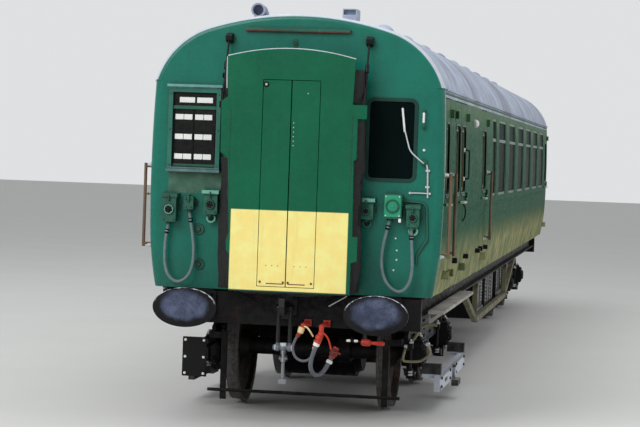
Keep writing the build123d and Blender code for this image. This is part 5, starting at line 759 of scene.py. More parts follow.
def make_board_trim():
    """The pale crown strip, the latches and the folds' marks on the gangway's board and leaves."""
    piece = Piece("gangway_board_trim", "coach_body", "silver_paint frame_green fitting_green")
    piece.bar([(x, -0.334, 3.4215 - 0.2318 * (x + 0.0125) ** 2) for x in spread(-0.598, 0.573, 9)], 0.009)
    piece.bar([(-0.604, -0.334, 3.338), (-0.606, -0.334, 3.20), (-0.600, -0.334, 3.05)], 0.006)
    for x in (-0.556, 0.562):
        piece.bar([(x, -0.3515, z) for z in (2.05, 2.60, 2.85)], 0.0035, 2)
    piece.rod((-0.520, -0.343, 1.213), (0.575, -0.343, 1.213), 0.009, 1)
    for z in spread(1.99, 3.28, 20):
        for x in (-0.505, 0.515):
            piece.rivet((x, BOARD_FACE, z), FRONT, 0.0045, 2)
    piece.done("front_paint")
    for side, sign in (("left", -1), ("right", 1)):
        leaf = Piece(f"gangway_leaf_{side}_trim", f"gangway_leaf_{side}",
                     "fitting_green brown_red silver_paint clean_black")
        # the right leaf's column of rivets by the seam is silver: a painted highlight on green rivet heads
        for z in spread(2.545, 2.750, 6):
            leaf.rivet((sign * 0.028, BOARD_FACE, z), FRONT, 0.0055, 2 if sign > 0 else 0)
            leaf.rivet((sign * 0.052, BOARD_FACE, z + 0.015), FRONT, 0.0045)
        for z in (1.45, 2.20, 2.95):
            for x in (0.075, 0.130, 0.185):
                leaf.rivet((sign * x, BOARD_FACE, z), FRONT, 0.0045)
        leaf.box(sorted((sign * 0.020, sign * 0.180)), (-0.353, -0.3495), (1.282, 1.290), 0.001, 1)
        for x in (0.236, 0.022):
            leaf.turned([(0, 0.010), (0.006, 0.009), (0.010, 0.004)], (sign * x, BOARD_FACE, 1.300), FRONT, 1)
        if side == "left":
            leaf.torus((-0.236, -0.353, 3.094), FRONT, 0.020, 0.006, 3)
            leaf.turned([(0, 0.013), (0.004, 0.010)], (-0.236, BOARD_FACE, 3.094), FRONT, 2)
        else:
            leaf.rivet((0.150, BOARD_FACE, 3.02), FRONT, 0.006, 2)
        leaf.done("front_paint")


# Looks of the jumper castings' pieces
PLAIN, PALE, VIVID, DARK, STEEL, WHITE = range(6)
# PALE on a lid, rim or ring is a painted highlight: those faces are the castings' green, painted paler where light
# catches them
CASTINGS = (
    # x, z, width, height, depth; lid's overhang and look; socket's radius, insert's and rim's look; ring's look
    (-1.152, 1.930, 0.130, 0.250, 0.120, 0.010, PLAIN, 0.045, DARK, PALE, None),
    (-0.972, 1.985, 0.090, 0.120, 0.110, 0.0, None, 0.0, None, None, None),
    (-0.770, 1.990, 0.130, 0.210, 0.090, 0.014, PALE, 0.042, DARK, PLAIN, PALE),
    (0.683, 1.985, 0.130, 0.180, 0.090, 0.014, PALE, 0.036, DARK, PLAIN, PLAIN),
    (0.928, 2.025, 0.165, 0.225, 0.120, 0.0, None, 0.062, VIVID, PLAIN, None),
    (1.112, 1.935, 0.116, 0.190, 0.090, 0.010, PLAIN, 0.040, DARK, PLAIN, PALE),
)


def make_castings():
    """Bolts, hinges, latches, inserts and chained rings of the jumper castings, and the cables' collars."""
    piece = Piece("jumper_details", "coach_body",
                  "fitting_green pale_green vivid_green clean_black bright_steel mark_white")
    for x, z, width, height, depth, lid, lid_look, socket, insert, rim, ring in CASTINGS:
        half, low, high = width / 2, z - height / 2, z + height / 2
        for side in (-1, 1):
            for level in (low + 0.022,) if lid else (low + 0.022, high - 0.022):
                piece.bolt((x + side * (half - 0.020), -depth, level), FRONT, 0.008)
            piece.box(sorted((x + side * (half - 0.004), x + side * (half + 0.022))), (-0.014, 0.0),
                      about(z, 0.030), 0.004)
            piece.bolt((x + side * (half + 0.012), -0.014, z), FRONT, 0.006)
        if lid:
            top, edge = high + lid / 2, -depth - lid
            piece.box(about(x, half + lid), (edge, -0.002), (top - 0.001, top + 0.007), 0.003, lid_look)
            piece.box(about(x, half + lid + 0.002), (edge - 0.004, edge + 0.002), (top - 0.026, top + 0.005), 0.003,
                      lid_look)
            piece.rod((x - half - 0.012, -0.012, top + 0.010), (x + half + 0.012, -0.012, top + 0.010), 0.009)
            piece.bar([(x, edge - 0.004, top - 0.010), (x, edge - 0.022, top - 0.022),
                       (x, edge - 0.010, top - 0.050), (x, edge + 0.006, top - 0.062)], 0.006)
        if socket:
            level, inside = z - lid, socket - 0.010
            piece.turned([(0.0, inside), (0.006, inside - 0.001), (0.007, inside * 0.62), (0.003, inside * 0.58),
                          (0.003, inside * 0.3), (0.010, inside * 0.26), (0.012, inside * 0.12)],
                         (x, -depth, level), FRONT, insert, 24)
            piece.torus((x, -depth - 0.014, level), FRONT, socket - 0.005, 0.005, rim)
            for angle in range(15, 375, 60) if insert == DARK else ():
                aside, up = math.cos(math.radians(angle)), math.sin(math.radians(angle))
                piece.turned([(0, 0.0035), (0.006, 0.0035), (0.008, 0.002)],
                             (x + inside * 0.78 * aside, -depth - 0.005, level + inside * 0.78 * up), FRONT, STEEL, 8)
        if ring is not None:
            piece.torus((x + 0.004, -0.046, low - 0.036), (0.1, -1, 0.15), 0.036, 0.010, ring)
            piece.turned([(0, 0.026), (0.020, 0.024), (0.028, 0.014)], (x, -0.046, low + 0.004), DOWN)
            piece.turned([(0, 0.020), (0.004, 0.018)], (x + 0.004, -0.046, low - 0.036), FRONT, DARK)
    # the box's vivid door and white screws
    piece.box((0.852, 1.004), (-0.126, -0.119), (1.925, 2.128), 0.004, VIVID)
    for x in (0.866, 0.990):
        for z in (1.938, 2.114):
            piece.rivet((x, -0.126, z), FRONT, 0.007, WHITE)
    piece.box((0.985, 1.010), (-0.131, -0.119), (1.880, 1.915), 0.003, WHITE)
    # the elbow's silvery spigot and its latch
    piece.turned([(0, 0.021), (0.024, 0.021), (0.030, 0.017), (0.060, 0.016)], (-0.972, -0.062, 1.960), DOWN, STEEL)
    piece.bar([(-0.972, -0.112, 1.995), (-0.972, -0.118, 2.035), (-0.972, -0.090, 2.056), (-0.972, -0.040, 2.050)],
              0.012)
    piece.done("front_paint")
    collars = Piece("jumper_collars", "coach_body", "clean_black bright_steel")
    for place, lean in (((-1.172, -0.0625, 1.735), -0.17), ((-0.958, -0.0625, 1.845), 0.13),
                        ((0.888, -0.0625, 1.850), -0.21), ((1.103, -0.0635, 1.765), 0.04)):
        collars.turned([(0, 0.0175), (0.004, 0.021), (0.036, 0.0205), (0.042, 0.0175)], place, (lean, 0, -1))
        collars.turned([(0.014, 0.0225), (0.022, 0.0225)], place, (lean, 0, -1), 1)
    collars.done("cable_rubber")


def make_bellows(name, node, half, z, y, seed):
    """A folded rubber tunnel: deep, uneven folds that sag between the hoops."""
    folds, rows, corner, most = 4, 32, 0.10, 0.0255
    random.seed(seed)
    low, high = z
    base = rounded((-half, half), z, corner, steps=4)
    points = []
    for start, end in zip(base, base[1:] + base[:1]):
        pieces = max(1, round(math.dist(start, end) / 0.09))
        for share in [index / pieces for index in range(pieces)]:
            points.append((start[0] + (end[0] - start[0]) * share, start[1] + (end[1] - start[1]) * share))
    middle = (low + high) / 2
    # rate, phase and depth of the creases; the first five of the draws are used
    waves = [(random.uniform(3, 9), random.uniform(0, 6.28), random.uniform(0.001, 0.0035)) for _ in range(30)][:5]

    def hoop(share, skin):
        bulge = abs(math.sin(math.pi * share * folds))
        loop = []
        for u, v in points:
            out_u = math.copysign(1.0, u) if abs(abs(u) - half) < corner else 0.0
            out_v = math.copysign(1.0, v - middle) if min(v - low, high - v) < corner else 0.0
            size = math.hypot(out_u, out_v) or 1.0
            crease = sum(depth * math.sin(rate * (u * 2.3 + v * 3.1) + phase + share * 9)
                         for rate, phase, depth in waves)
            swell = min(0.024 * bulge ** 0.7 - 0.004 + crease * bulge + skin, most)
            loop.append((u + out_u / size * swell, y[0] + (y[1] - y[0]) * share, v + out_v / size * swell))
        return loop

    shares = [row / rows for row in range(rows + 1)]
    piece = Piece(name, "coach_body", "bellows_black")
    piece.strips([hoop(share, 0.0) for share in shares] + [hoop(share, -0.022) for share in shares[::-1]],
                 closed=True)
    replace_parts(piece.done("bellows_rubber", 60.0), node)


def make_curtains():
    """Loose black folds of rubbered canvas down both edges of the gangway."""
    piece = Piece("gangway_curtains", "coach_body", "curtain_black")
    # plan of the folds: distance from the centre line and from the front panel
    plan = ((0.535, -0.310), (0.575, -0.296), (0.632, -0.262), (0.650, -0.240), (0.612, -0.215), (0.588, -0.192),
            (0.640, -0.160), (0.652, -0.140), (0.606, -0.122), (0.570, -0.085), (0.545, -0.040), (0.540, -0.006))
    random.seed(21)
    for sign, low, high in ((1, 1.225, 2.790), (1, 2.945, 3.250), (-1, 1.225, 2.415), (-1, 2.945, 3.250)):
        phases = [random.uniform(0, 6.28) for _ in plan]
        loops = []
        for z in spread(low, high, max(5, round((high - low) / 0.045))):
            outer = []
            for (x, y), phase in zip(plan, phases):
                drift = 0.009 * math.sin(z * 7.0 + phase) + 0.004 * math.sin(z * 19.0 + 2 * phase)
                outer.append((sign * (x + drift), min(-0.006, y + 0.5 * drift), z))
            loops.append(outer + [(x - sign * 0.010, y, z) for x, y, z in reversed(outer)])
        piece.strips(loops)
        count = 2 * len(plan)
        for loop in (loops[0], loops[-1]):
            piece.add(loop, [[index, index + 1, count - 2 - index, count - 1 - index]
                             for index in range(len(plan) - 1)])
    piece.done("bellows_rubber", 70.0)


# Buffers, coupling and hoses

def make_couplings():
    """Thread and nuts of the screw, cocks, levers, collars and bolts at the headstock."""
    piece = Piece("coupling_details", "coach_body",
                  "clean_black silver_paint cream_paint pipe_red mark_white brown_red bright_steel")
    thread = [(0.006 * index, 0.028 if index % 2 else 0.0235) for index in range(19)]
    piece.turned(thread, (-0.030, -0.140, 0.668), DOWN, 6, 18)
    piece.turned([(0, 0.030), (0.006, 0.036), (0.034, 0.036), (0.040, 0.030)], (-0.030, -0.140, 0.735), DOWN, 1, 6)
    for x, side in ((-0.099, -1), (0.039, 1)):
        for z, slot in ((0.692, 1), (1.055, 0)):
            piece.turned([(0, 0.028), (0.004, 0.030), (0.012, 0.027)], (x, -0.140, z), (side, 0, 0), slot, 14)
    piece.turned([(0, 0.014), (0.010, 0.018), (0.040, 0.016), (0.052, 0.008)], (-0.040, -0.200, 1.092), (0, -0.3, 1),
                 4, 14)
    for x in (-0.100, 0.040):
        for z in (0.965, 1.145):
            piece.bolt((x, -0.015, z), FRONT, 0.013)
    # left cock: cream head, lever and union
    piece.turned([(0, 0.027), (0.012, 0.030), (0.050, 0.029), (0.058, 0.023)], (0.160, -0.293, 0.900),
                 (-0.30, 0, -1), 2)
    piece.bar([(0.165, -0.300, 0.905), (0.200, -0.306, 0.915), (0.250, -0.306, 0.850), (0.268, -0.306, 0.818)],
              0.008, 2)
    piece.turned([(0, 0.0175), (0.004, 0.020), (0.028, 0.0195), (0.034, 0.016)], (0.133, -0.292, 0.838),
                 (-0.45, 0, -0.9), 5)
    # right cock: red lever, white collar at the hose
    piece.bar([(0.342, -0.350, 0.872), (0.385, -0.352, 0.850), (0.425, -0.350, 0.790), (0.440, -0.348, 0.714)],
              0.008, 3)
    piece.turned([(0, 0.0255), (0.006, 0.030), (0.030, 0.0295), (0.036, 0.025)], (0.312, -0.345, 0.770),
                 (-0.35, 0, -0.95), 4)
    piece.turned([(0, 0.031), (0.008, 0.034), (0.030, 0.034), (0.036, 0.030)], (0.334, -0.348, 0.832),
                 (-0.35, 0, -0.95), 3)
    # far ends of the hoses
    piece.turned([(0, 0.0255), (0.006, 0.030), (0.026, 0.0295), (0.032, 0.025)], (0.384, -0.077, 0.560),
                 (0.38, 0.18, 0.9), 4)
    piece.turned([(0, 0.033), (0.010, 0.040), (0.050, 0.038), (0.062, 0.024)], (0.415, -0.055, 0.635),
                 (0.45, 0, 0.9), 5)
    piece.bar([(0.420, -0.090, 0.660), (0.455, -0.096, 0.668), (0.495, -0.090, 0.650)], 0.010, 5)
    piece.turned([(0, 0.016), (0.004, 0.019), (0.022, 0.0185), (0.028, 0.0155)], (0.279, -0.293, 0.700),
                 (0.15, 0, 1), 4)
    # isolating cock under the right buffer with its pipe, and the pin beside it
    piece.bar([(0.700, -0.010, 0.890), (0.700, -0.020, 0.820), (0.702, -0.045, 0.772), (0.710, -0.050, 0.764)], 0.016)
    piece.turned([(0, 0.020), (0.010, 0.030), (0.045, 0.034), (0.080, 0.030), (0.090, 0.018)],
                 (0.675, -0.050, 0.766), (1, 0, -0.03), 3)
    piece.turned([(0, 0.014), (0.030, 0.016), (0.115, 0.022), (0.130, 0.014)], (0.760, -0.050, 0.764),
                 (1, 0, -0.02), 3)
    for x in (0.540, 0.610):
        piece.turned([(0, 0.010), (0.006, 0.012), (0.030, 0.012), (0.036, 0.008)], (x, -0.050, 0.776),
                     (1, 0, 0.02), 4)
    piece.rod((0.530, -0.044, 0.776), (0.690, -0.044, 0.770), 0.008)
    # struts from the headstock up to the board
    for x, foot, radius, slot in ((0.300, 0.490, 0.007, 0), (0.335, 0.525, 0.007, 0), (0.365, 0.535, 0.007, 1),
                                  (-0.300, -0.500, 0.008, 0)):
        piece.rod((x, -0.060, 1.085), (foot, -0.115, 1.188), radius, slot)
    piece.done("underframe_black")


def make_buffer_details():
    """Bolts of the bases, and the collars of the heads."""
    piece = Piece("buffer_details", "coach_body", "clean_black bright_steel silver_paint")
    for middle in (-0.870, 0.870):
        for x in about(middle, 0.130):
            for z in about(1.055, 0.095):
                piece.bolt((x, -0.020, z), FRONT, 0.015)
        piece.turned([(0, 0.124), (0.006, 0.128), (0.016, 0.128), (0.022, 0.124)], (middle, -0.300, 1.055), FRONT,
                     0, 28)
    piece.done("underframe_black")


# Sides

DROPLIGHTS = (
    # body, low and high edge of the opening along the coach
    ("cab_door", 0.219, 0.514), ("van_leaf_front", 1.216, 1.665), ("van_leaf_rear", 1.855, 2.304),
    ("passenger_door", 4.549, 5.054), ("inner_end_door", 18.599, 19.054),
)


def make_door_trim():
    """Frame, sliding light and seams of every side door, riding on the door."""
    for name, low, high in DROPLIGHTS:
        for side in ("right", "left"):
            piece = Piece(f"{name}_{side}_trim", f"{name}_{side}", "frame_green glass_dark rail_wood bright_steel")
            piece.flip = side == "left"
            piece.side_ring((low, high), (2.150, 2.800), 0.018, 0.040, 0.004, 0.012)
            piece.side_ring((low + 0.042, high - 0.042), (2.195, 2.755), 0.038, 0.030, -0.020, 0.038, 2)
            piece.side_pane((low + 0.036, high - 0.036), (2.189, 2.761), 0.034, 0.027, 0.005, 1)
            x = side_x(2.120)
            piece.box((x - 0.004, x + 0.009), (low + 0.02, high - 0.02), (2.110, 2.128), 0.003)
            x = side_x(2.740) - 0.022
            piece.box((x - 0.004, x + 0.012), about((low + high) / 2, 0.05), (2.748, 2.760), 0.003, 3)
            piece.done("body_paint")


def make_side_trim():
    """Step irons, lamp, feet of the grab rails, rivets and beading along the sides, and irons on the doors."""
    piece = Piece("side_trim", "coach_body",
                  "side_green frame_green clean_black silver_paint bright_steel mark_white")
    for piece.flip in (False, True):
        x = side_x(1.475)
        for y in (2.750, 4.300, 5.420):
            piece.box((x - 0.004, x + 0.055), about(y, 0.032), (1.450, 1.500), 0.006, 2)
        # lamp between the van and the passenger doors
        x = side_x(2.860)
        piece.turned([(0, 0.045), (0.010, 0.045), (0.016, 0.038), (0.030, 0.037), (0.042, 0.028), (0.048, 0.010)],
                     (x - 0.002, 3.400, 2.860), OUTWARD, 5, 22)
        piece.torus((x + 0.012, 3.400, 2.860), OUTWARD, 0.042, 0.005, 4)
        for y, low, high in ((0.095, 1.575, 2.325), (0.640, 1.575, 2.325), (5.240, 1.580, 2.337)):
            for z in (low, high):
                piece.turned([(0, 0.026), (0.006, 0.026), (0.010, 0.018), (0.040, 0.014)],
                             (side_x(z) - 0.001, y, z), OUTWARD, 3, 14)
        for y in (3.95, 5.60, 6.95, 8.77, 10.69, 12.61, 14.53, 16.45, 18.20):
            for z in spread(1.30, 2.00, 12):
                piece.rivet((side_x(z) - 0.0005, y, z), OUTWARD, 0.005)
        # beading at the waist and under the cantrail
        for z, start, end in ((1.965, 2.44, 4.40), (1.965, 5.28, 18.45), (3.075, 0.14, 19.25)):
            x = side_x(z)
            piece.box((x - 0.004, x + 0.006), (start, end), about(z, 0.009), 0.003)
    piece.done("body_paint")
    for name, y in (("van_leaf_front", 1.490), ("van_leaf_rear", 2.120), ("passenger_door", 4.720)):
        for side in ("right", "left"):
            piece = Piece(f"{name}_{side}_irons", f"{name}_{side}", "clean_black mark_white frame_green")
            piece.flip = side == "left"
            if name == "van_leaf_rear":
                make_van_handle(piece, y)
            else:
                x = side_x(1.480)
                piece.box((x - 0.004, x + 0.050), about(y, 0.030), (1.455, 1.510), 0.006)
            piece.done("body_paint")


def make_van_handle(piece, y):
    """The long handle of the van's rear leaf on its white feet, and the curved one below."""
    out = side_x(2.42) + 0.052
    piece.bar([(side_x(2.28) - 0.002, y, 2.28), (out - 0.01, y, 2.28), (out, y, 2.29), (out, y, 2.36),
               (out, y, 2.49), (out, y, 2.56), (out - 0.01, y, 2.57), (side_x(2.57) - 0.002, y, 2.57)], 0.010, 2)
    for z in (2.28, 2.57):
        piece.foot((side_x(z) - 0.001, y, z), OUTWARD, 0.022, 0.014, 1)
    piece.bar([(side_x(2.03) - 0.002, y + 0.07, 2.03), (side_x(2.0) + 0.020, y + 0.08, 2.01),
               (side_x(1.94) + 0.030, y + 0.09, 1.94), (side_x(1.88) + 0.020, y + 0.08, 1.87),
               (side_x(1.85) - 0.002, y + 0.07, 1.85)], 0.008)


# Bogies and underframe

FRAME_FACE = 0.971      # outer face of the bogies' side frames
LEVER = ((0.953, 1.215, 0.640), (0.935, 1.160, 0.560), (0.930, 1.150, 0.500), (0.996, 1.150, 0.500),
         (1.096, 1.150, 0.502), (1.152, 1.150, 0.540), (1.202, 1.150, 0.579), (1.190, 1.150, 0.634),
         (1.168, 1.150, 0.676))
GUARD = ((0.972, 1.300, 0.650), (1.000, 1.300, 0.690), (1.043, 1.300, 0.744), (1.069, 1.300, 0.800),
         (1.110, 1.300, 0.845), (1.175, 1.300, 0.862), (1.240, 1.300, 0.852))


def make_bogie_details(body):
    """Bolts, rivets, leaves, clips and nuts of a bogie, and the front bogie's plates and levers."""
    piece = Piece(f"{body}_details", body, "clean_black bright_steel khaki_iron mark_white silver_paint")
    pivot = PIVOTS[body]
    for piece.flip in (False, True):
        for y in about(pivot, HALF_WHEELBASE):
            make_axlebox_details(piece, y)
        for z, reach, count in ((0.850, 1.02, 18), (0.590, 0.86, 13)):
            for y in spread(pivot - reach, pivot + reach, count):
                piece.rivet((FRAME_FACE, y, z), OUTWARD, 0.010)
        for middle in about(pivot, 0.33):
            for z in spread(0.64, 0.80, 3):
                for y in about(middle, 0.048):
                    piece.bolt((FRAME_FACE, y, z), OUTWARD, 0.014)
    piece.flip = False
    if body == "motor_bogie":
        # bolts of the pale beam on the right, and a black plate on it: painted shade standing for its fuse recess
        for y in (1.70, 2.62, 3.32, 4.24):
            for z in (0.300, 0.215):
                piece.bolt((1.2645, y, z), OUTWARD, 0.014)
        piece.box((1.2635, 1.2675), (2.080, 2.330), (0.225, 0.262))
        piece.turned([(0, 0.030), (0.004, 0.026)], (1.2640, 1.600, 0.206), OUTWARD, 0, 16)
        # bent lever and guard ahead of the right axlebox
        piece.bar(LEVER, 0.013, 2)
        piece.bar(GUARD, 0.016, 2)
        for place in (LEVER[0], LEVER[-1], GUARD[0]):
            piece.turned([(-0.02, 0.018), (-0.015, 0.024), (0.015, 0.024), (0.02, 0.018)], place, FRONT, 1, 12)
        # plate with pale bolts ahead of the left axlebox, hung from the frame's end
        piece.box((-1.215, -0.972), (0.985, 1.005), (0.270, 0.655), 0.006)
        for z in (0.300, 0.460, 0.625):
            for x in (-1.185, -1.002):
                piece.turned([(0, 0.014), (0.010, 0.013), (0.014, 0.008)], (x, 0.985, z), FRONT, 3, 10)
        for z in (0.560, 0.640):
            piece.rod((-1.000, 1.000, z), (-0.950, 1.215, z + 0.03), 0.018)
        piece.bar([(-1.160, 1.000, 0.300), (-1.160, 1.100, 0.290), (-1.170, 1.300, 0.300), (-1.180, 1.560, 0.320)],
                  0.014)
    piece.done("underframe_black")


def make_axlebox_details(piece, y):
    """Fastenings of one axlebox, its spring and hangers, and the horn ties beside it."""
    for ahead in about(y, 0.092):
        for z in about(AXLE_HEIGHT, 0.104):
            piece.bolt((1.0775, ahead, z), OUTWARD, 0.012)
    for angle in range(30, 390, 60):
        turn = math.radians(angle)
        piece.rivet((1.092, y + 0.088 * math.cos(turn), AXLE_HEIGHT + 0.088 * math.sin(turn)), OUTWARD, 0.006, 1)
    piece.turned([(0, 0.024), (0.012, 0.024), (0.016, 0.016), (0.034, 0.016), (0.038, 0.010)],
                 (1.030, y + 0.060, 0.672), UP, 0, 12)
    make_leaves(piece, y)
    for ahead in about(y, 0.260):
        piece.box((0.926, 1.030), about(ahead, 0.014), (0.343, 0.396), 0.003)
        piece.bolt((1.030, ahead, 0.369), OUTWARD, 0.009, 1)
    for ahead in about(y, 0.426):
        for z, direction in ((0.404, DOWN), (0.378, DOWN), (0.671, UP)):
            piece.turned([(0, 0.027), (0.003, 0.030), (0.017, 0.030), (0.020, 0.027)], (0.996, ahead, z), direction,
                         1, 6)
        piece.turned([(0, 0.016), (0.022, 0.016), (0.026, 0.012)], (0.996, ahead, 0.690), UP, 1, 12)
    for sign in (-1, 1):
        piece.box((0.950, 0.992), sorted((y + sign * 0.050, y + sign * 0.178)), (0.382, 0.396), 0.003)
        piece.bolt((0.972, y + sign * 0.160, 0.382), DOWN, 0.010, 1)
        for z in spread(0.430, 0.690, 5):
            piece.rivet((FRAME_FACE, y + sign * 0.142, z), OUTWARD, 0.010)
        piece.box((0.968, 0.984), sorted((y + sign * 0.116, y + sign * 0.128)), (0.400, 0.730), 0.003)


def make_leaves(piece, y):
    """The leaves of one laminated spring, each a little proud of the solid with a groove between them."""
    for leaf in range(5):
        half = 0.450 * (1 - leaf / 6) - 0.004
        loops = []
        for reach in spread(-half, half, 17):
            top = 0.371 - 0.014 * leaf + 0.060 * (reach / 0.450) ** 2
            loops.append([(x, y + reach, top - drop) for x, drop in
                          ((0.9315, 0.0125), (1.0245, 0.0125), (1.0245, 0.0015), (0.9315, 0.0015))])
        piece.strips(loops)
        for loop in (loops[0], loops[-1]):
            piece.add(loop, [[0, 1, 2, 3]])


# start, length and bottom of the cases under the floor; their doors are about DOOR_PITCH apart
CASES = ((7.600, 1.300, 0.480), (9.300, 1.500, 0.420), (11.380, 1.150, 0.500))
CASE_TOP = 1.010
DOOR_PITCH = 0.420


def make_underframe_details():
    """Handles, hinges, louvres and bolts of the cases, rivets of the solebars, and the truss's fastenings."""
    piece = Piece("underframe_details", "coach_body", "clean_black bright_steel truss_dust")
    for piece.flip in (False, True):
        for start, length, low in CASES:
            doors, bottom = round(length / DOOR_PITCH), low + 0.035
            pitch = (length - 0.035) / doors
            half = (pitch - 0.035) / 2
            for index in range(doors):
                middle = start + 0.0175 + (index + 0.5) * pitch
                for y in about(middle, half * 0.62):
                    piece.rod((1.100, y - 0.035, CASE_TOP - 0.004), (1.100, y + 0.035, CASE_TOP - 0.004), 0.008)
                    piece.box((1.092, 1.099), about(y, 0.030), (CASE_TOP - 0.050, CASE_TOP - 0.006))
                    piece.turned([(0, 0.020), (0.006, 0.020), (0.012, 0.010), (0.020, 0.010)],
                                 (1.093, y, bottom + 0.045), OUTWARD, 1, 12)
                    piece.box((1.108, 1.116), about(y, 0.004), (bottom + 0.020, bottom + 0.070), 0.002, 1)
                if index % 2:
                    piece.box((1.0925, 1.0965), about(middle, half * 0.7), (bottom + 0.12, CASE_TOP - 0.10), 0.0015)
                    continue
                for z in spread(bottom + 0.14, CASE_TOP - 0.12, 7):
                    louvre = ((1.0925, z + 0.016), (1.101, z - 0.006), (1.101, z - 0.010), (1.0925, z - 0.010))
                    ends = [[(x, y, level) for x, level in louvre] for y in about(middle, half * 0.70)]
                    piece.add(ends[0] + ends[1], [[3, 2, 1, 0], [4, 5, 6, 7]] + bands(4))
        for z in (1.012, 1.148):
            for y in spread(0.30, 19.05, 76):
                piece.rivet((1.195, y, z), OUTWARD, 0.008)
        for middle in (7.025, 12.325):
            piece.box((1.179, 1.188), about(middle, 0.085), (0.905, 0.985), 0.003, 2)
            piece.box((1.179, 1.188), about(middle, 0.080), (0.480, 0.560), 0.003, 2)
            for y in about(middle, 0.060):
                for z in (0.520, 0.945):
                    piece.bolt((1.188, y, z), OUTWARD, 0.012, 1)
    piece.done("underframe_black")


def make_rear_trim():
    """Climbing irons, rails, lamp irons, sockets and rivets of the rear end."""
    piece = Piece("rear_trim", "coach_body", "fitting_green clean_black bright_steel")
    wall = BODY_LENGTH
    rivets = [(x, z) for x in (-1.230, -0.560, 0.560, 1.230) for z in spread(1.26, 3.04, 27)]
    for x, z in rivets + [(x, z) for z in (1.235, 3.095) for x in spread(-1.18, -0.60, 8) + spread(0.60, 1.18, 8)]:
        piece.rivet((x, wall, z), BACK, 0.0055)
    for z in spread(1.45, 2.95, 6):
        piece.bar([(x, wall + out, z) for x, out in (
            (-1.120, -0.002), (-1.120, 0.050), (-1.108, 0.076), (-1.040, 0.080),
            (-0.870, 0.080), (-0.802, 0.076), (-0.790, 0.050), (-0.790, -0.002))], 0.011, 1)
        for x in (-1.120, -0.790):
            piece.foot((x, wall - 0.001, z), BACK, 0.027, 0.016, 1)
    for x in (-0.640, 0.640):
        piece.bar([(x, wall + out, z) for out, z in (
            (-0.002, 1.50), (0.050, 1.50), (0.060, 1.53), (0.060, 1.90), (0.060, 2.37), (0.050, 2.40),
            (-0.002, 2.40))], 0.011, 2)
        for z in (1.50, 2.40):
            piece.foot((x, wall - 0.001, z), BACK, 0.025, 0.015)
    for x, z in ((0.900, 1.420), (-0.900, 1.330), (0.900, 3.000)):
        piece.box(about(x, 0.055), (wall - 0.002, wall + 0.010), about(z, 0.070), 0.003)
        piece.box(about(x, 0.022), (wall + 0.008, wall + 0.060), (z - 0.060, z - 0.050), 0.002, 1)
        piece.box(about(x, 0.022), (wall + 0.050, wall + 0.060), about(z, 0.060), 0.002, 1)
    for x in (0.960, 1.100):
        piece.box(about(x, 0.058), (wall - 0.002, wall + 0.100), (1.640, 1.830), 0.010)
        piece.turned([(0, 0.046), (0.010, 0.046), (0.016, 0.038), (0.030, 0.036), (0.034, 0.020)],
                     (x, wall + 0.098, 1.720), BACK)
        for side in about(x, 0.044):
            piece.bolt((side, wall + 0.100, 1.812), BACK, 0.007, 1)
        piece.rod((x - 0.050, wall + 0.104, 1.770), (x + 0.050, wall + 0.104, 1.770), 0.007, 2)
    piece.bar([(1.030, wall + 0.012, 1.640), (1.030, wall + 0.014, 1.500), (1.030, wall + 0.014, 1.300),
               (1.020, wall + 0.012, 1.200)], 0.014)
    piece.done("front_paint")


# Interior

BAYS = (6.852, 8.772, 10.692, 12.612, 14.532, 16.452)      # backs of the first benches, along the coach
BAY_LENGTH = 1.916
BENCH_EDGE, BENCH_WIDTH = 0.268, 0.950                     # inner edge from the centre line, and width
PAD_ROWS = 25


def make_racks():
    """Luggage racks over the seats: rails, bars and brackets on both sides of the saloon."""
    piece = Piece("luggage_racks", "coach_body", "bright_steel brass")
    for piece.flip in (False, True):
        for bay in BAYS:
            start, end = bay + 0.010, bay + 1.906
            for x, z, radius in ((0.985, 2.880, 0.014), (1.060, 2.868, 0.006), (1.125, 2.858, 0.006),
                                 (1.190, 2.848, 0.006), (1.255, 2.838, 0.006)):
                piece.rod((x, start, z), (x, end, z), radius)
            for y in (start + 0.060, (start + end) / 2, end - 0.060):
                piece.bar([(x, y, z) for x, z in ((1.335, 2.780), (1.280, 2.790), (1.150, 2.838), (1.020, 2.862),
                                                  (0.985, 2.880))], 0.011, 1)
                piece.turned([(0, 0.026), (0.006, 0.024), (0.014, 0.014)], (1.338, y, 2.780), INWARD, 1, 14)
    piece.done("grab_rail")


def make_seats():
    """Bench cushions and backs: crowned pads with welts, on panelled plinths."""
    cushions = Piece("seat_cushions", "coach_body", "moquette")
    backs = Piece("seat_backs", "coach_body", "moquette")
    plinths = Piece("seat_plinths", "coach_body", "panel_wood bright_steel rail_wood")
    for start, toward in [bench for bay in BAYS for bench in ((bay, 1), (bay + BAY_LENGTH, -1))]:
        near, far = sorted((start + toward * 0.100, start + toward * 0.480))
        back = sorted((start + toward * 0.010, start + toward * 0.100))
        flat, full = back[::toward]
        for flip in (False, True):
            cushions.flip = backs.flip = plinths.flip = flip
            # flat below and crowned above; flat behind and crowned toward the sitter
            pad(cushions, (near + 0.004, far), 12,
                lambda u, v, share: (u, v, 1.545 if share is None else 1.575 + 0.117 * (0.55 + 0.45 * share)))
            pad(backs, (1.700, 2.322), 16,
                lambda u, v, share: (u, flat if share is None else flat + (full - flat) * (0.45 + 0.52 * share), v))
            plinths.box((0.275, 1.215), (near + 0.015, far - 0.025), (1.2465, 1.545), 0.006)
            plinths.box((0.262, 0.276), back, (1.2465, 2.300), 0.005, 2)
            plinths.bar([(x, back[0] + 0.045, z) for x, z in (
                (0.270, 2.300), (0.270, 2.345), (0.330, 2.350), (0.420, 2.345), (0.420, 2.300))], 0.010, 1)
    cushion = cushions.done("seat_cloth", 60.0)
    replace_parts(cushion, "seats")
    backs.done("seat_cloth", 60.0)
    plinths.done("interior_panel")


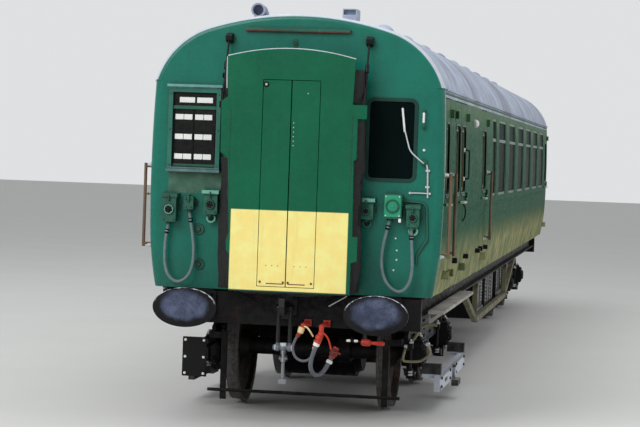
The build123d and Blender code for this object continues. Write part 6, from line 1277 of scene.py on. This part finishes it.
def pad(piece, v_limits, v_count, place):
    """A closed pad for two sitters: full in the middle of each place, drawn in at the seam and the edges.

    place(u, v, share) gives a point of the crowned face, and of the flat one where share is None.
    """
    low, high = v_limits
    top, bottom = [], []
    for a in spread(0, 1, PAD_ROWS):
        for b in spread(0, 1, v_count + 1):
            edge = (1 - abs(2 * a - 1) ** 5) * (1 - abs(2 * b - 1) ** 5)
            seam = abs(math.sin(2 * math.pi * a)) ** 0.35
            pull = 1 - 0.12 * (1 - abs(2 * a - 1) ** 2) * abs(2 * b - 1) ** 6
            u = BENCH_EDGE + BENCH_WIDTH * a
            v = (low + high) / 2 + (high - low) * (b - 0.5) * (0.985 + 0.015 * pull)
            top.append(place(u, v, edge * (0.72 + 0.28 * seam)))
            bottom.append(place(u, v, None))
    rows, columns, count = PAD_ROWS, v_count + 1, len(top)
    faces = []
    for a in [row * columns + column for row in range(rows - 1) for column in range(v_count)]:
        faces.append([a, a + 1, a + columns + 1, a + columns])
        faces.append([count + a, count + a + columns, count + a + columns + 1, count + a + 1])
    rim = (list(range(columns)) + [row * columns + v_count for row in range(1, rows)]
           + [count - 2 - column for column in range(v_count)] + [row * columns for row in range(rows - 2, 0, -1)])
    faces += [[a, b, count + b, count + a] for a, b in zip(rim, rim[1:] + rim[:1])]
    piece.add(top + bottom, faces)


# Stage

def make_stage():
    """A pale floor, soft lamps and a pale surround."""
    size = 120.0
    mesh = bpy.data.meshes.new("stage_floor")
    mesh.from_pydata([(-size, -size, 0), (size, -size, 0), (size, size, 0), (-size, size, 0)], [], [(0, 1, 2, 3)])
    mesh.materials.append(floor_finish())
    show("stage_floor", mesh)

    world = bpy.data.worlds.new("surround")
    world.use_nodes = True
    bpy.context.scene.world = world
    tree = world.node_tree
    paths = tree.nodes.new("ShaderNodeLightPath")
    seen = paths.outputs["Is Camera Ray"]
    for kind in ("Is Glossy Ray", "Is Transmission Ray"):
        either = tree.nodes.new("ShaderNodeMath")
        either.operation = "MAXIMUM"
        tree.links.new(seen, either.inputs[0])
        tree.links.new(paths.outputs[kind], either.inputs[1])
        seen = either.outputs[0]
    strength = tree.nodes.new("ShaderNodeMapRange")
    tree.links.new(seen, strength.inputs["Value"])
    strength.inputs["To Min"].default_value = 0.55
    strength.inputs["To Max"].default_value = 0.86
    background = tree.nodes["Background"]
    background.inputs["Color"].default_value = linear((238, 240, 242))
    tree.links.new(strength.outputs["Result"], background.inputs["Strength"])

    for name, place, target, width, power in (
        ("key", (-9.0, -26.0, 14.0), (0.0, -9.0, 2.0), 12.0, 2500.0),
        ("side", (16.0, -8.0, 12.0), (0.0, 0.0, 2.0), 16.0, 700.0),
        ("top", (0.0, 0.0, 18.0), (0.0, 0.0, 0.0), 18.0, 1200.0),
    ):
        data = bpy.data.lights.new(name, "AREA")
        data.size = width
        data.energy = power
        lamp = show(name, data)
        lamp.location = place
        lamp.rotation_mode = "QUATERNION"
        lamp.rotation_quaternion = (Vector(target) - Vector(place)).to_track_quat("-Z", "Y")
    bpy.context.scene.view_settings.view_transform = "Standard"


make_camera()
make_cords()
dress_nodes()
make_headcode()
make_front_trim()
make_board_trim()
make_castings()
make_bellows("gangway_bellows_folds", "gangway_bellows", 0.470, (1.200, 3.300), (-0.314, -0.0005), 11)
make_bellows("gangway_rear_bellows_folds", "gangway_rear_bellows", 0.420, (1.210, 3.270), (19.3505, 19.6), 12)
make_curtains()
make_couplings()
make_buffer_details()
make_door_trim()
make_side_trim()
make_bogie_details("motor_bogie")
make_bogie_details("trailer_bogie")
make_underframe_details()
make_rear_trim()
make_racks()
make_seats()
make_stage()
